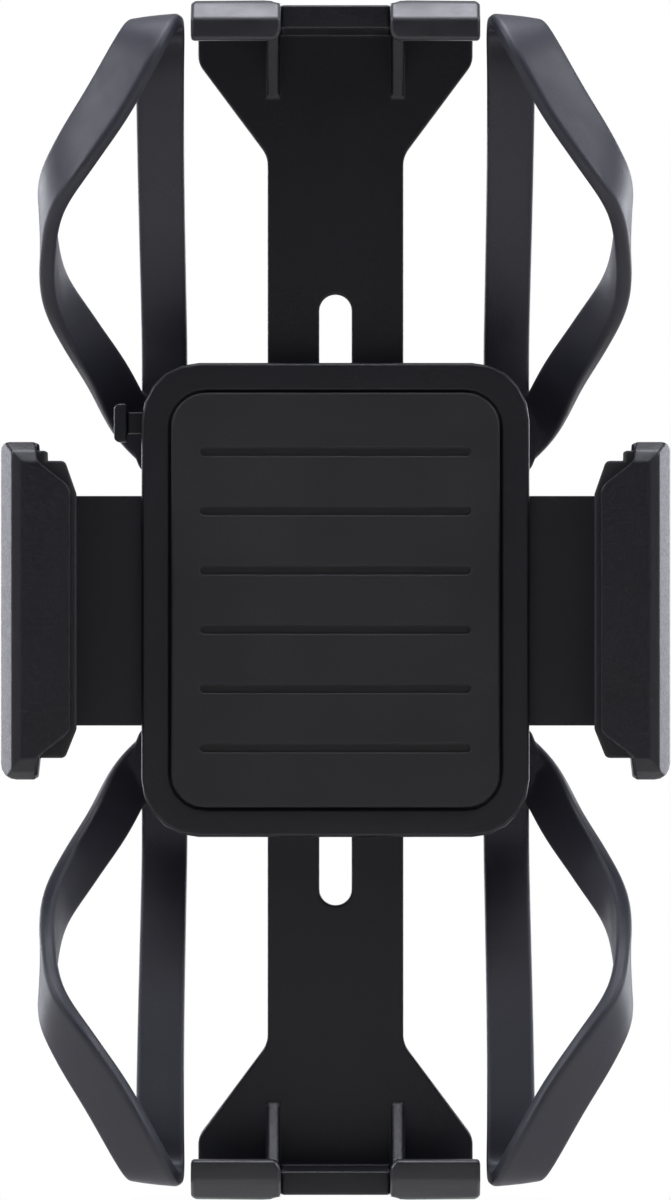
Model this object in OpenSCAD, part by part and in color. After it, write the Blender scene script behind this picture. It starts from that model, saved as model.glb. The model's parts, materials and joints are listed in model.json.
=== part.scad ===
// Phone handlebar mount. Two jaws on racks close on the sides of a phone, two feet slide out to its ends,
// and a rubber harness loops over its four corners. A ball joint carries the cradle on a handlebar clamp.
// Frame: the handlebar runs along X through the origin, the phone faces -Y, and +Z is up.

/* [Phone] */
// Width of the phone that the jaws hold at rest
phone_w = 77.8; // [72:0.1:84]
// Height of the phone that the feet hold at rest
phone_h = 158; // [148:0.5:168]
// Thickness of the phone with the thin case it wears
phone_t = 8.5; // [7:0.1:11]

/* [Cradle body] */
// Width of the cradle body
body_w = 54; // [52:1:56]
// Height of the cradle body
body_h = 66; // [66:1:78]
// Radius of the body's corners
body_corner = 8; // [5:0.5:10]
// Thickness of the side walls
body_wall = 1.8; // [1.5:0.1:2.2]
// Thickness of the back cover
cover_t = 2.5; // [2:0.1:4]
// Thickness of the front plate
plate_t = 2.5; // [2:0.1:4]
// Thickness of the plate between the feet and the racks
mid_t = 1; // [0.8:0.1:2]
// Thickness of the rubber pad behind the phone
pad_t = 1.5; // [1:0.1:3]

/* [Jaws] */
// Height of a jaw
jaw_h = 46.7; // [40:0.1:50]
// How far the jaws' middle lies below the feet's middle
jaw_drop = 1.5; // [0:0.1:3]
// Thickness of a jaw's side wall
jaw_wall = 4.8; // [3.5:0.1:6]
// Thickness of a jaw's front lip
jaw_lip_t = 2.2; // [1.6:0.1:3]
// How far the lip reaches over the phone
jaw_reach = 2.3; // [1:0.1:4]
// Thickness of the rubber beside the phone
jaw_pad_t = 2.5; // [1.5:0.1:3]
// Height of a jaw's arm
arm_h = 32; // [30:0.5:34]
// Outward travel of a jaw
jaw_open = 7; // [4:0.5:7]
// Inward travel of a jaw
jaw_close = 10; // [6:0.5:10]

/* [Feet] */
// Width of a foot across its two toes
foot_w = 40; // [34:0.5:40]
// Width of one toe
toe_w = 11.1; // [8:0.1:12]
// How far a toe hooks over the phone
toe_hook = 1.7; // [1:0.1:3]
// Width of a foot's stem
stem_w = 19; // [16:0.5:20]
// Thickness of a foot's stem
stem_t = 3; // [2.5:0.1:4]
// Outward travel of a foot
foot_out = 8; // [4:0.5:8]
// Inward travel of a foot
foot_in = 14; // [8:0.5:14]

/* [Corner harness] */
// Width of the rubber strap
strap_w = 6.2; // [5:0.1:7]
// Thickness of the rubber strap
strap_t = 1.8; // [1.5:0.1:2.2]
// Thickness of the harness's flat middle
harness_t = 2.4; // [2.4:0.1:3]

/* [Ball joint] */
// Radius of the ball
ball_r = 8.5; // [8:0.1:9]
// Radius of the ball's neck
neck_r = 4; // [3:0.1:4.2]
// Length of the neck that shows
neck_len = 7.5; // [6:0.1:12]
// Radius of the lock collar
collar_r = 17.5; // [17:0.1:19]

/* [Handlebar clamp] */
// Diameter of the handlebar
bar_d = 22.2; // [19:0.1:25.4]
// Thickness of the rubber liners
liner_t = 1.5; // [1:0.1:2.5]
// Width of the clamp along the bar
clamp_w = 28; // [22:1:34]
// Thickness of the frame in front of the bar
frame_wall = 7.3; // [6:0.1:10]
// Thickness of the clamp's spine above the bar
spine_t = 6.5; // [5:0.1:9]
// Opening travel of the moving jaw
clamp_open = 11; // [8:0.5:14]
// Closing travel of the moving jaw
clamp_close = 4; // [0:0.5:4]
// Diameter of the clamp screw
screw_d = 8; // [6:0.5:8]
// Radius of the clamp knob
knob_r = 16; // [13:0.5:20]
// Length of the clamp knob
knob_len = 15; // [10:0.5:22]

/* [Hidden] */
$fn = 64;

// Clearances
touch_gap = 0.1;    // rubber to phone or bar
slide_gap = 0.2;    // sliding plastic faces
run_gap = 0.05;     // turning fits
ball_gap = 0.08;    // between the ball, its seats and their housing
soft_gap = 0.3;     // pieces that pass each other
head_sink = 0.1;    // countersunk heads below their faces

// Clamp levels along Y, from the bar's axis
grip_r = bar_d / 2 + touch_gap;
seat_r = grip_r + liner_t;
seat_half = 55;                                  // half of the angle that a seat wraps round the bar
frame_front = -(seat_r + frame_wall);
clamp_jaw_t = 5.8;                               // the moving jaw behind the bar
clamp_jaw_back = seat_r + clamp_jaw_t;
retainer_t = 1.2;
retainer_head_t = 1;
screw_groove = 0.8;                              // depth of the groove that the retainer sits in
rear_wall_front = clamp_jaw_back + retainer_t + retainer_head_t + clamp_open + soft_gap;
rear_wall_t = 7;
rear_wall_back = rear_wall_front + rear_wall_t;
knob_front = rear_wall_back + clamp_close + 2;
knob_back = knob_front + knob_len;
spine_z = seat_r + 2.8;                          // underside of the spine
clamp_low = -seat_r * sin(seat_half) - 1.2;      // lowest face of the seats
insert_r = screw_d / 2 + 2.5;
tongue_w = 8;
tongue_h = 2.8;

// Ball joint levels along Y
washer_t = 1;
flange_t = 3;
flange_r = 8;
ball_y = frame_front - washer_t - flange_t - neck_len - sqrt(ball_r * ball_r - neck_r * neck_r);
seat_shell = 1.95;
seat_in_r = ball_r + ball_gap;
seat_out_r = seat_in_r + seat_shell;
cavity_r = seat_out_r + ball_gap;
socket_floor = 2.89;
spigot_r = cavity_r + 2.75;
collar_mouth = cavity_r - 1.75;                  // radius of the collar's opening
collar_back = ball_y + 7;
socket_half = 16.5;                              // half of the square flange
socket_screw_at = 13;
boss_r = 10;                                     // socket boss through the harness

// Cradle levels along Y, from back to front
back_y = ball_y - cavity_r - socket_floor;
harness_back = back_y + harness_t;
socket_flange_t = 2.5;
socket_flange_back = harness_back + socket_flange_t;
cover_in = back_y - cover_t;
stem_back = cover_in - slide_gap;
stem_front = stem_back - stem_t;
mid_back = stem_front - slide_gap;
mid_front = mid_back - mid_t;
gear_back = mid_front - slide_gap;
gear_t = 2.8;
gear_front = gear_back - gear_t;
web_t = 1.6;
web_front = gear_front - web_t;
plate_back = web_front - slide_gap;
plate_front = plate_back - plate_t;
pad_recess = 0.7;
pad_back = plate_front + pad_recess;
phone_back = pad_back - pad_t;
phone_front = phone_back - phone_t;
jaw_lip_back = phone_front - touch_gap - 1.2;    // the pad's lip is 1.2 thick
jaw_front = jaw_lip_back - jaw_lip_t;

// Jaws, drawn for the right-hand one
jaw_z = -jaw_drop;
jaw_top = jaw_z + jaw_h / 2;
jaw_low = jaw_z - jaw_h / 2;
jaw_pad_in = phone_w / 2 + touch_gap;
jaw_in = jaw_pad_in + jaw_pad_t;
jaw_out = jaw_in + jaw_wall;
jaw_lip_in = phone_w / 2 - jaw_reach;
jaw_foot_in = max(jaw_in - 3.7, body_w / 2 + jaw_close + 0.8);
jaw_foot_front = phone_back + 0.9;
jaw_back = gear_back + 3.1;
arm_end = jaw_out - 2.3;
arm_in = 17.5;
arm_half = arm_h / 2;
rail_h = 2.8;
jaw_screw_x = (jaw_foot_in + arm_end) / 2;
jaw_screw_z = 10;
jaw_screw_r = 1.25;

// Rack and pinion
gear_module = 0.625;
gear_teeth = 16;
gear_r = gear_module * gear_teeth / 2;
gear_pitch = PI * gear_module;
pressure = 25;
tooth_up = 0.55;
tooth_down = 0.75;
backlash = 0.14;
axle_r = 1.5;
finger_h = 4.7;                                  // rack finger behind its teeth
finger_tip = jaw_open + 3;
spring_r = 1.25;
spring_wire = 0.2;

// Ratchet and release button, on the left-hand side
ratchet_pitch = 2;
ratchet_depth = 1;
pawl_x = -12;
pawl_z = jaw_z + arm_half + 5.5;
button_z = pawl_z + 4.7;
button_h = 3;
button_travel = 1.5;
pawl_pin_r = 1;
pawl_t = 1.2;
button_spring_x = -body_w / 2 + 5.2;
button_peg_x = button_spring_x + 4.4;
button_peg_r = 0.6;

// Feet, drawn for the top one
foot_in_z = phone_h / 2 + touch_gap;             // face that meets the phone's end
shelf_t = 3.3;
toe_back = phone_back + 2.2;
foot_top = foot_in_z + shelf_t;
toe_top = foot_top + 0.5;
lock_z = body_h / 2 - 6.5;
lock_r = 2;
nut_r = 4.04;
nut_t = 3;
lock_slot = lock_r + 0.25;
stem_end = lock_z - foot_out - lock_slot - 1.75;
cover_screw_x = 15.5;
cover_screw_z = body_h / 2 - 3.5;
cover_screw_r = 1.25;
body_in_w = body_w - 2 * body_wall;
body_in_h = body_h - 2 * body_wall;

// Harness route for the upper right corner: each row is a centre point and the strap's outward direction.
// The points follow the phone's edges, and the first and last lie in the harness plate.
strap_lift = strap_t / 2 + touch_gap;
edge_x = phone_w / 2;
edge_z = phone_h / 2;
harness_mid = back_y + harness_t / 2;
knot_x = body_w / 2 - 3;                         // knots where the straps leave the plate
knot_z = body_h / 2 - 7;
ROUTE = [
    [[knot_x, harness_mid, knot_z], [0, 1, 0]],
    [[knot_x, harness_mid, knot_z + 4.5], [0, 1, 0]],
    [[knot_x, harness_mid, knot_z + 9], [0, 1, 0.1]],
    [[knot_x + 0.1, harness_mid - 2.6, knot_z + 16], [0, 1, 0.35]],
    [[knot_x + 0.4, (harness_mid + phone_back) / 2 - 1.4, (knot_z + edge_z) / 2 + 6], [0, 1, 0.35]],
    [[knot_x + 0.6, phone_back + strap_lift + 0.7, edge_z - 6], [0, 1, 0.3]],
    [[knot_x + 0.7, phone_back + 0.75, edge_z + 0.75], [0, 0.8, 0.8]],
    [[knot_x + 1.1, phone_back - phone_t * 0.5, edge_z + strap_lift + 0.15], [0.05, 0, 1]],
    [[knot_x + 1.9, phone_front - 0.9, edge_z + 1], [0.2, -0.7, 0.75]],
    [[knot_x + 4.2, phone_front - 3.3, edge_z - 3.4], [0.42, -0.8, 0.42]],
    [[edge_x - 6.8, phone_front - 3.4, edge_z - 10], [0.54, -0.78, 0.34]],
    [[edge_x - 2.3, phone_front - 3.5, edge_z - 16.8], [0.72, -0.72, 0.25]],
    [[edge_x + 1.2, phone_front - 0.8, edge_z - 22.6], [0.96, -0.4, 0.1]],
    [[edge_x + strap_lift + 0.5, phone_front + phone_t * 0.5, edge_z - 28.5], [1, 0, 0]],
    [[edge_x + 0.9, phone_back + 0.5, edge_z - 35.4], [1, 0.4, 0]],
    [[edge_x - 2.9, phone_back + 6.2, edge_z - 41.8], [0.8, 0.75, 0]],
    [[edge_x - 7, (harness_mid + phone_back) / 2 + 4.5, knot_z + 5.2], [0.55, 0.95, 0.1]],
    [[knot_x + 4.4, harness_mid, knot_z - 1.2], [0.1, 1, 0]],
    [[knot_x + 0.6, harness_mid, knot_z - 5], [0, 1, 0]]
];

// Helpers ---------------------------------------------------------------------------------------------------

function unit(v) = v / norm(v);

// An outline whose corners, given as [x, y, radius], are rounded
function rounded(p, n = 5) = [for (i = [0:len(p) - 1]) let (
    a = p[(i + len(p) - 1) % len(p)], b = p[i], c = p[(i + 1) % len(p)],
    corner = [b[0], b[1]],
    u = unit([a[0], a[1]] - corner),
    v = unit([c[0], c[1]] - corner),
    half = acos(u * v) / 2,
    centre = corner + unit(u + v) * b[2] / sin(half),
    s = corner + u * b[2] / tan(half) - centre,
    e = corner + v * b[2] / tan(half) - centre,
    a0 = atan2(s[1], s[0]),
    turn = (atan2(e[1], e[0]) - a0 + 540) % 360 - 180
) each b[2] == 0 ? [corner] : [for (k = [0:n]) let (a = a0 + turn * k / n) centre + b[2] * [cos(a), sin(a)]]];

// A rectangle about the origin with rounded corners
module rounded_rect(w, h, r) {
    polygon(rounded([[-w / 2, -h / 2, r], [w / 2, -h / 2, r], [w / 2, h / 2, r], [-w / 2, h / 2, r]]));
}

// Flat shapes drawn in X and Z, each made solid from y0 to y1
module slab(y0, y1) {
    for (i = [0:$children - 1])
        translate([0, y1, 0]) rotate([90, 0, 0]) linear_extrude(y1 - y0) children(i);
}

// A profile drawn in Y and Z, made solid from x0 to x1
module bar_x(x0, x1) {
    translate([x0, 0, 0]) rotate([90, 0, 90]) linear_extrude(x1 - x0) children();
}

// A cylinder along Y at x, z
module rod(r, y0, y1, x = 0, z = 0) {
    translate([x, y1, z]) rotate([90, 0, 0]) cylinder(r = r, h = y1 - y0);
}

module box(low, high) {
    translate(low) cube(high - low);
}

// One piece in each of the four corners, or on the left and right, or at the top and bottom
module four(x, z) {
    for (sx = [-1, 1], sz = [-1, 1]) translate([sx * x, 0, sz * z]) children();
}

module flip_x(on = true) {
    mirror([on ? 1 : 0, 0, 0]) children();
}

module flip_z(on = true) {
    mirror([0, 0, on ? 1 : 0]) children();
}

// Smooth curve through the points p, with n steps between neighbours
function spline(p, n) = [for (i = [0:len(p) - 2]) let (
    a = p[max(i - 1, 0)], b = p[i], c = p[i + 1], d = p[min(i + 2, len(p) - 1)]
) each [for (k = [0:n - (i == len(p) - 2 ? 0 : 1)]) let (t = k / n)
    0.5 * (2 * b + (c - a) * t + (2 * a - 5 * b + 4 * c - d) * t * t + (3 * b - a - 3 * c + d) * t * t * t)]];

// Triangles of a closed tube of rings rings, each with m points
function tube_faces(rings, m) = concat(
    [for (i = [0:rings - 2], j = [0:m - 1]) each [
        [i * m + j, i * m + (j + 1) % m, (i + 1) * m + j],
        [i * m + (j + 1) % m, (i + 1) * m + (j + 1) % m, (i + 1) * m + j]]],
    [for (j = [1:m - 2]) [0, j + 1, j]],
    [for (j = [1:m - 2]) [(rings - 1) * m, (rings - 1) * m + j, (rings - 1) * m + j + 1]]);

// Section in the plane of two directions, carried along the centres c with the outward directions out
module sweep(c, out, section) {
    points = [for (i = [0:len(c) - 1]) let (
        t = unit(c[min(i + 1, len(c) - 1)] - c[max(i - 1, 0)]),
        normal = unit(out[i] - (out[i] * t) * t),
        side = cross(t, normal)
    ) each [for (s = section) c[i] + side * s[0] + normal * s[1]]];
    polyhedron(points, tube_faces(len(c), len(section)), convexity = 8);
}

// A coil spring along X from x0 to x1, whose wire's middle runs at radius r
module coil_x(x0, x1, r, wire, turns, y, z) {
    steps = 12 * turns;
    centres = [for (i = [0:steps]) [
        x0 + wire + (x1 - x0 - 2 * wire) * i / steps, y + r * cos(30 * i), z + r * sin(30 * i)]];
    out = [for (i = [0:steps]) [0, cos(30 * i), sin(30 * i)]];
    sweep(centres, out, [for (k = [0:5]) wire * [cos(60 * k), sin(60 * k)]]);
}

// A countersunk screw along Y, its point at y0 and its head just below the face
module flat_screw(r, head_r, y0, face) {
    top = face - head_sink;
    difference() {
        union() {
            rod(r, y0, top - (head_r - r) / 2);
            translate([0, top, 0]) rotate([90, 0, 0]) cylinder(r1 = head_r, r2 = r, h = head_r - r);
        }
        for (a = [0, 90]) rotate([0, a, 0])
            box([-head_r * 0.55, top - 0.6, -0.3], [head_r * 0.55, top + 1, 0.3]);
    }
}

// The hole for it, with a little room round it
module flat_screw_hole(r, head_r, y0, face) {
    wide = head_r + head_sink + run_gap;
    rod(r + run_gap, y0, face + 1);
    translate([0, face, 0]) rotate([90, 0, 0]) cylinder(r1 = wide, r2 = r + run_gap, h = wide - r - run_gap);
}

// Handlebar clamp -------------------------------------------------------------------------------------------

module clamp_frame() {
    lip_y = -seat_r * cos(seat_half);
    inner_top = spine_z + spine_t;
    color("#24262b") difference() {
        bar_x(-clamp_w / 2, clamp_w / 2) polygon(rounded([
            [frame_front, clamp_low, 2.5],
            [lip_y, clamp_low, 0.8],
            [lip_y, -clamp_low, 0.3],
            [-4, spine_z, 2],
            [rear_wall_front, spine_z, 1],
            [rear_wall_front, clamp_low, 1],
            [rear_wall_back, clamp_low, 3],
            [rear_wall_back, inner_top, 6],
            [frame_front, inner_top, 6]
        ]));
        rotate([0, 90, 0]) cylinder(r = seat_r, h = clamp_w + 2, center = true);
        rod(screw_d / 2 + run_gap, frame_front - 1, frame_front + 5.5);
        rod(screw_d / 2 + 0.3, rear_wall_front - 1, rear_wall_back + 1);
        rod(insert_r + run_gap, rear_wall_front - 1, rear_wall_back - 1.2);
        box([-tongue_w / 2 - slide_gap, lip_y + 2, spine_z - 1],
            [tongue_w / 2 + slide_gap, rear_wall_front, spine_z + tongue_h + slide_gap]);
        for (s = [-1, 1]) flip_x(s < 0)
            box([clamp_w / 2 - 3, -2, spine_z + 1.6], [clamp_w / 2 + 1, rear_wall_front, inner_top - 1.6]);
    }
}

module liner(side) {
    half = seat_half - 0.5;
    color("#141518") difference() {
        rotate([90, 0, 90]) linear_extrude(clamp_w - 1, center = true) difference() {
            intersection() {
                circle(r = seat_r - run_gap);
                polygon([[0, 0], 3 * seat_r * [side * cos(half), sin(half)], [side * 5 * seat_r, 0],
                    3 * seat_r * [side * cos(half), -sin(half)]]);
            }
            circle(r = grip_r);
        }
    }
}

module front_liner() {
    liner(-1);
}

module rear_liner() {
    liner(1);
}

module thread_insert() {
    color("#b08d3c") difference() {
        rod(insert_r, rear_wall_front + 0.3, rear_wall_back - 1.2);
        rod(screw_d / 2 + run_gap, rear_wall_front, rear_wall_back);
    }
}

module ball_stud() {
    flange_back = frame_front - washer_t;
    color("#8f9298") union() {
        translate([0, ball_y, 0]) sphere(r = ball_r);
        rod(neck_r, ball_y, flange_back);
        translate([0, flange_back, 0]) rotate([90, 0, 0]) cylinder(r = flange_r, h = flange_t, $fn = 6);
        rod(screw_d / 2, flange_back - 1, frame_front + 5.3);
    }
}

module stud_washer() {
    color("#9a9da3") difference() {
        rod(flange_r - 0.6, frame_front - washer_t, frame_front);
        rod(screw_d / 2 + run_gap, frame_front - 2, frame_front + 1);
    }
}

module clamp_jaw() {
    lip_y = seat_r * cos(seat_half);
    color("#24262b") difference() {
        union() {
            bar_x(-clamp_w / 2, clamp_w / 2) polygon(rounded([
                [lip_y, clamp_low, 0.8],
                [clamp_jaw_back, clamp_low, 2],
                [clamp_jaw_back, spine_z - slide_gap, 1],
                [lip_y, spine_z - slide_gap, 1],
                [lip_y, 0, 0]
            ]));
            box([-tongue_w / 2, lip_y + 1, spine_z - 2], [tongue_w / 2, clamp_jaw_back, spine_z + tongue_h]);
        }
        rotate([0, 90, 0]) cylinder(r = seat_r, h = clamp_w + 2, center = true);
        rod(screw_d / 2 + run_gap, clamp_jaw_back - 4.1, clamp_jaw_back + 1);
        for (s = [-1, 1]) rod(1, clamp_jaw_back - 4, clamp_jaw_back + 1, s * 9);
    }
}

module jaw_retainer() {
    slot = screw_d / 2 - screw_groove + run_gap;
    color("#9a9da3") difference() {
        slab(clamp_jaw_back, clamp_jaw_back + retainer_t) rounded_rect(24, 10, 3);
        rod(slot, clamp_jaw_back - 1, clamp_jaw_back + 3);
        box([-slot, clamp_jaw_back - 1, -10], [slot, clamp_jaw_back + 3, 0]);
        for (s = [-1, 1]) rod(1.1, clamp_jaw_back - 1, clamp_jaw_back + 3, s * 9);
    }
}

module retainer_screws() {
    head = clamp_jaw_back + retainer_t;
    color("#9a9da3") for (s = [-1, 1]) translate([s * 9, 0, 0]) union() {
        rod(0.95, clamp_jaw_back - 3.5, head + 0.5);
        rod(1.9, head, head + retainer_head_t);
    }
}

module clamp_screw() {
    groove = clamp_jaw_back - 0.1;
    color("#8f9298") difference() {
        rod(screw_d / 2, clamp_jaw_back - 4, knob_back - 4);
        difference() {
            rod(screw_d, groove, groove + retainer_t + 0.3);
            rod(screw_d / 2 - screw_groove, groove - 1, groove + retainer_t + 1);
        }
    }
}

module clamp_knob() {
    lobes = 6;
    color("#202227") difference() {
        union() {
            rod(knob_r, knob_front + 3, knob_back);
            rod(8, knob_front, knob_front + 4);
        }
        for (i = [0:lobes - 1]) rotate([0, 360 * i / lobes, 0])
            rod(6, knob_front + 2, knob_back + 1, knob_r + 2.6);
        rod(screw_d / 2 + 0.02, knob_front - 1, knob_back - 3.9);
        rod(7.2, knob_back - 2, knob_back + 1);
    }
}

module knob_cap() {
    color("#33363d") rod(7.1, knob_back - 2, knob_back - 0.3);
}

// Ball joint ------------------------------------------------------------------------------------------------

// The part of a round shell about the ball that lies from y0 to y1 behind its centre
module shell_zone(inner, outer, y0, y1) {
    difference() {
        intersection() {
            translate([0, ball_y, 0]) sphere(r = outer);
            rod(outer + 1, ball_y + y0, ball_y + y1);
        }
        translate([0, ball_y, 0]) sphere(r = inner);
    }
}

module seat_ring() {
    color("#c9c6bd") shell_zone(seat_in_r, seat_out_r, 0.35, ball_r * 0.62);
}

module seat_cup() {
    color("#c9c6bd") shell_zone(seat_in_r, seat_out_r, -seat_out_r - 1, -seat_out_r * 0.375);
}

module lock_collar() {
    grips = 18;
    front = socket_flange_back + soft_gap;
    color("#1d1f24") difference() {
        rod(collar_r, front, collar_back);
        rod(spigot_r + slide_gap, front - 1, ball_y + 0.3);
        translate([0, ball_y, 0]) sphere(r = cavity_r + run_gap);
        rod(collar_mouth, ball_y, collar_back + 1);
        for (i = [0:grips - 1]) rotate([0, 360 * i / grips, 0])
            rod(1.6, front - 1, collar_back - 1.5, collar_r + 0.9);
    }
}

module ball_socket() {
    color("#202227") difference() {
        union() {
            rod(boss_r, back_y, harness_back + 1);
            slab(harness_back, socket_flange_back) rounded_rect(2 * socket_half, 2 * socket_half, 5);
            rod(spigot_r, harness_back, ball_y);
        }
        translate([0, ball_y, 0]) sphere(r = cavity_r);
        four(socket_screw_at, socket_screw_at)
            flat_screw_hole(cover_screw_r, 2.4, back_y - 1, socket_flange_back);
    }
}

module socket_screws() {
    color("#9a9da3") four(socket_screw_at, socket_screw_at)
        flat_screw(cover_screw_r, 2.4, cover_in - 2, socket_flange_back);
}

// Cradle body -----------------------------------------------------------------------------------------------

module back_cover() {
    rib_in = stem_w / 2 + slide_gap;
    rib_end = body_in_h / 2 + 0.5;
    screw_bosses_front = plate_back + 0.01;
    color("#202227") difference() {
        union() {
            difference() {
                slab(plate_back, back_y) rounded_rect(body_w, body_h, body_corner);
                slab(plate_back - 1, cover_in) rounded_rect(body_in_w, body_in_h, body_corner - body_wall);
            }
            for (s = [-1, 1]) flip_x(s < 0)
                box([rib_in, mid_back, -rib_end], [rib_in + 1.2, cover_in + 0.5, rib_end]);
            four(cover_screw_x, cover_screw_z) rod(3, screw_bosses_front, cover_in + 0.5);
            four(socket_screw_at, socket_screw_at) rod(2.5, mid_back, cover_in + 0.5);
            four(body_in_w / 2 - 2, 22) rod(1.8, mid_back, cover_in + 0.5);
        }
        // Slots for the arms, the stems and the button
        box([-body_w, plate_back - 1, jaw_z - arm_half - slide_gap],
            [body_w, gear_back + slide_gap / 2, jaw_z + arm_half + slide_gap]);
        box([-rib_in, stem_front - slide_gap / 2, -body_h], [rib_in, stem_back + slide_gap / 2, body_h]);
        box([-body_w, gear_front - slide_gap / 2, button_z - button_h / 2 - slide_gap],
            [-body_in_w / 2 + 0.5, gear_back + slide_gap / 2, button_z + button_h / 2 + slide_gap]);
        four(cover_screw_x, cover_screw_z) flat_screw_hole(cover_screw_r, 2.5, plate_back - 1, back_y);
        four(socket_screw_at, socket_screw_at) rod(cover_screw_r + run_gap, cover_in - 2.2, back_y + 1);
        for (s = [-1, 1]) rod(lock_r + 0.2, cover_in - 1, back_y + 1, 0, s * lock_z);
    }
}

module cover_screws() {
    color("#9a9da3") four(cover_screw_x, cover_screw_z)
        flat_screw(cover_screw_r, 2.5, plate_back - 1.2, back_y);
}

module mid_plate() {
    color("#2b2d33") difference() {
        slab(mid_front, mid_back)
            rounded_rect(body_in_w - 0.4, body_in_h - 0.4, body_corner - body_wall - 0.2);
        four(cover_screw_x, cover_screw_z) rod(3.2, mid_front - 1, mid_back + 1);
        for (s = [-1, 1]) rod(lock_r + 0.2, mid_front - 1, mid_back + 1, 0, s * lock_z);
        rod(axle_r, mid_front - 1, mid_back + 1, 0, jaw_z);
        rod(pawl_pin_r, mid_front - 1, mid_back + 1, pawl_x, pawl_z);
    }
}

module front_plate() {
    top_rail = jaw_z + arm_half + slide_gap;
    low_rail = jaw_z - arm_half - slide_gap;
    rail_back = mid_front;
    color("#202227") difference() {
        union() {
            slab(plate_front, plate_back) rounded_rect(body_w, body_h, body_corner);
            // Rails along the arms' outer edges, broken at the ratchet
            box([-5, plate_back - 0.5, top_rail], [23, rail_back, top_rail + 1.5]);
            box([-23, plate_back - 0.5, low_rail - 1.5], [23, rail_back, low_rail]);
            rod(button_peg_r, plate_back - 0.5, gear_back, button_peg_x, button_z);
            // Pockets that hold the lock nuts
            for (s = [-1, 1]) translate([0, 0, s * lock_z])
                slab(plate_back - 0.5, rail_back) rounded_rect(11, 9, 1.5);
        }
        slab(plate_front - 1, pad_back) rounded_rect(body_w - 8, body_h - 8, body_corner - 3);
        rod(axle_r, pad_back + 0.6, plate_back + 1, 0, jaw_z);
        rod(pawl_pin_r, pad_back + 0.6, plate_back + 1, pawl_x, pawl_z);
        for (s = [-1, 1]) translate([0, 0, s * lock_z]) {
            translate([0, rail_back + 1, 0]) rotate([90, 0, 0])
                cylinder(r = nut_r + run_gap, h = nut_t + 1 + 2 * run_gap, $fn = 6);
            rod(lock_r + 0.2, plate_back, rail_back + 1);
        }
        four(cover_screw_x, cover_screw_z) rod(cover_screw_r + run_gap, pad_back + 0.5, plate_back + 1);
    }
}

module phone_pad() {
    grooves = 6;
    w = body_w - 8.3;
    h = body_h - 8.3;
    color("#17181b") difference() {
        slab(phone_back, pad_back) rounded_rect(w, h, body_corner - 3.15);
        for (i = [0:grooves - 1]) let (z = h * ((i + 1) / (grooves + 1) - 0.5))
            box([-w / 2 + 4, phone_back - 1, z - 0.6], [w / 2 - 4, phone_back + 0.5, z + 0.6]);
    }
}

module pinion_axle() {
    color("#9a9da3") rod(axle_r - 0.02, pad_back + 0.7, mid_back - 0.1, 0, jaw_z);
}

// One flank of a gear tooth, from its root to its tip, as [radius, angle from the tooth's middle]
function flank(r) = let (
    base = gear_r * cos(pressure),
    thick = 90 / gear_teeth - backlash / 2 / gear_r * 90 / PI,
    inv = function (a) tan(a) * 180 / PI - a
) thick + inv(pressure) - inv(r <= base ? 0 : acos(base / r));

module pinion() {
    root = gear_r - tooth_down;
    tip = gear_r + tooth_up;
    radii = [for (k = [0:5]) root + (tip - root) * k / 5];
    color("#e4e0d4") translate([0, gear_back - 0.2, jaw_z]) rotate([90, 0, 0]) difference() {
        linear_extrude(gear_t - 0.4) polygon([for (i = [0:gear_teeth - 1]) let (mid = 360 * i / gear_teeth)
            each concat(
                [for (r = radii) r * [cos(mid - flank(r)), sin(mid - flank(r))]],
                [for (k = [5:-1:0]) let (r = radii[k]) r * [cos(mid + flank(r)), sin(mid + flank(r))]]
            )]);
        translate([0, 0, -1]) cylinder(r = axle_r + run_gap, h = gear_t + 2);
    }
}

module foot_lock_nuts() {
    color("#9a9da3") for (s = [-1, 1]) translate([0, 0, s * lock_z]) difference() {
        translate([0, mid_front - run_gap, 0]) rotate([90, 0, 0]) cylinder(r = nut_r, h = nut_t, $fn = 6);
        rod(lock_r + run_gap, mid_front - nut_t - 1, mid_front + 1);
    }
}

// Corner harness --------------------------------------------------------------------------------------------

// Strap section across its width and its thickness, with rounded edges
function strap_section() = let (
    w = strap_w / 2, t = strap_t / 2, r = 0.6
) rounded([[-w, -t, r], [w, -t, r], [w, t, r], [-w, t, r]], 1);

module corner_loop() {
    sweep(spline([for (p = ROUTE) p[0]], 3), spline([for (p = ROUTE) p[1]], 3), strap_section());
}

// The flat middle of the harness, with an arm to each knot
module harness_middle() {
    slab(back_y, harness_back) rounded_rect(2 * socket_half + 2, 2 * socket_half + 2, 7);
    for (sx = [-1, 1], sz = [-1, 1]) flip_x(sx < 0) flip_z(sz < 0)
        slab(back_y, harness_back) polygon(rounded([
            [socket_half - 8, socket_half - 2, 0],
            [knot_x - strap_w / 2 - 0.4, knot_z - 1, 2],
            [knot_x - strap_w / 2 - 0.4, knot_z + 3, 0.8],
            [knot_x + strap_w / 2 + 0.4, knot_z + 3, 0.8],
            [knot_x + strap_w / 2 + 2.2, knot_z - 3, 2],
            [knot_x + 3.5, knot_z - 7.5, 2],
            [socket_half - 2, socket_half - 8, 0]
        ]));
}

module corner_harness() {
    color("#3a3b45") difference() {
        union() {
            harness_middle();
            for (sx = [-1, 1], sz = [-1, 1]) flip_x(sx < 0) flip_z(sz < 0) corner_loop();
        }
        rod(boss_r + 0.1, back_y - 1, harness_back + 1);
        four(socket_screw_at, socket_screw_at) rod(cover_screw_r + 0.15, back_y - 1, harness_back + 1);
    }
}

// Jaws ------------------------------------------------------------------------------------------------------

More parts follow.
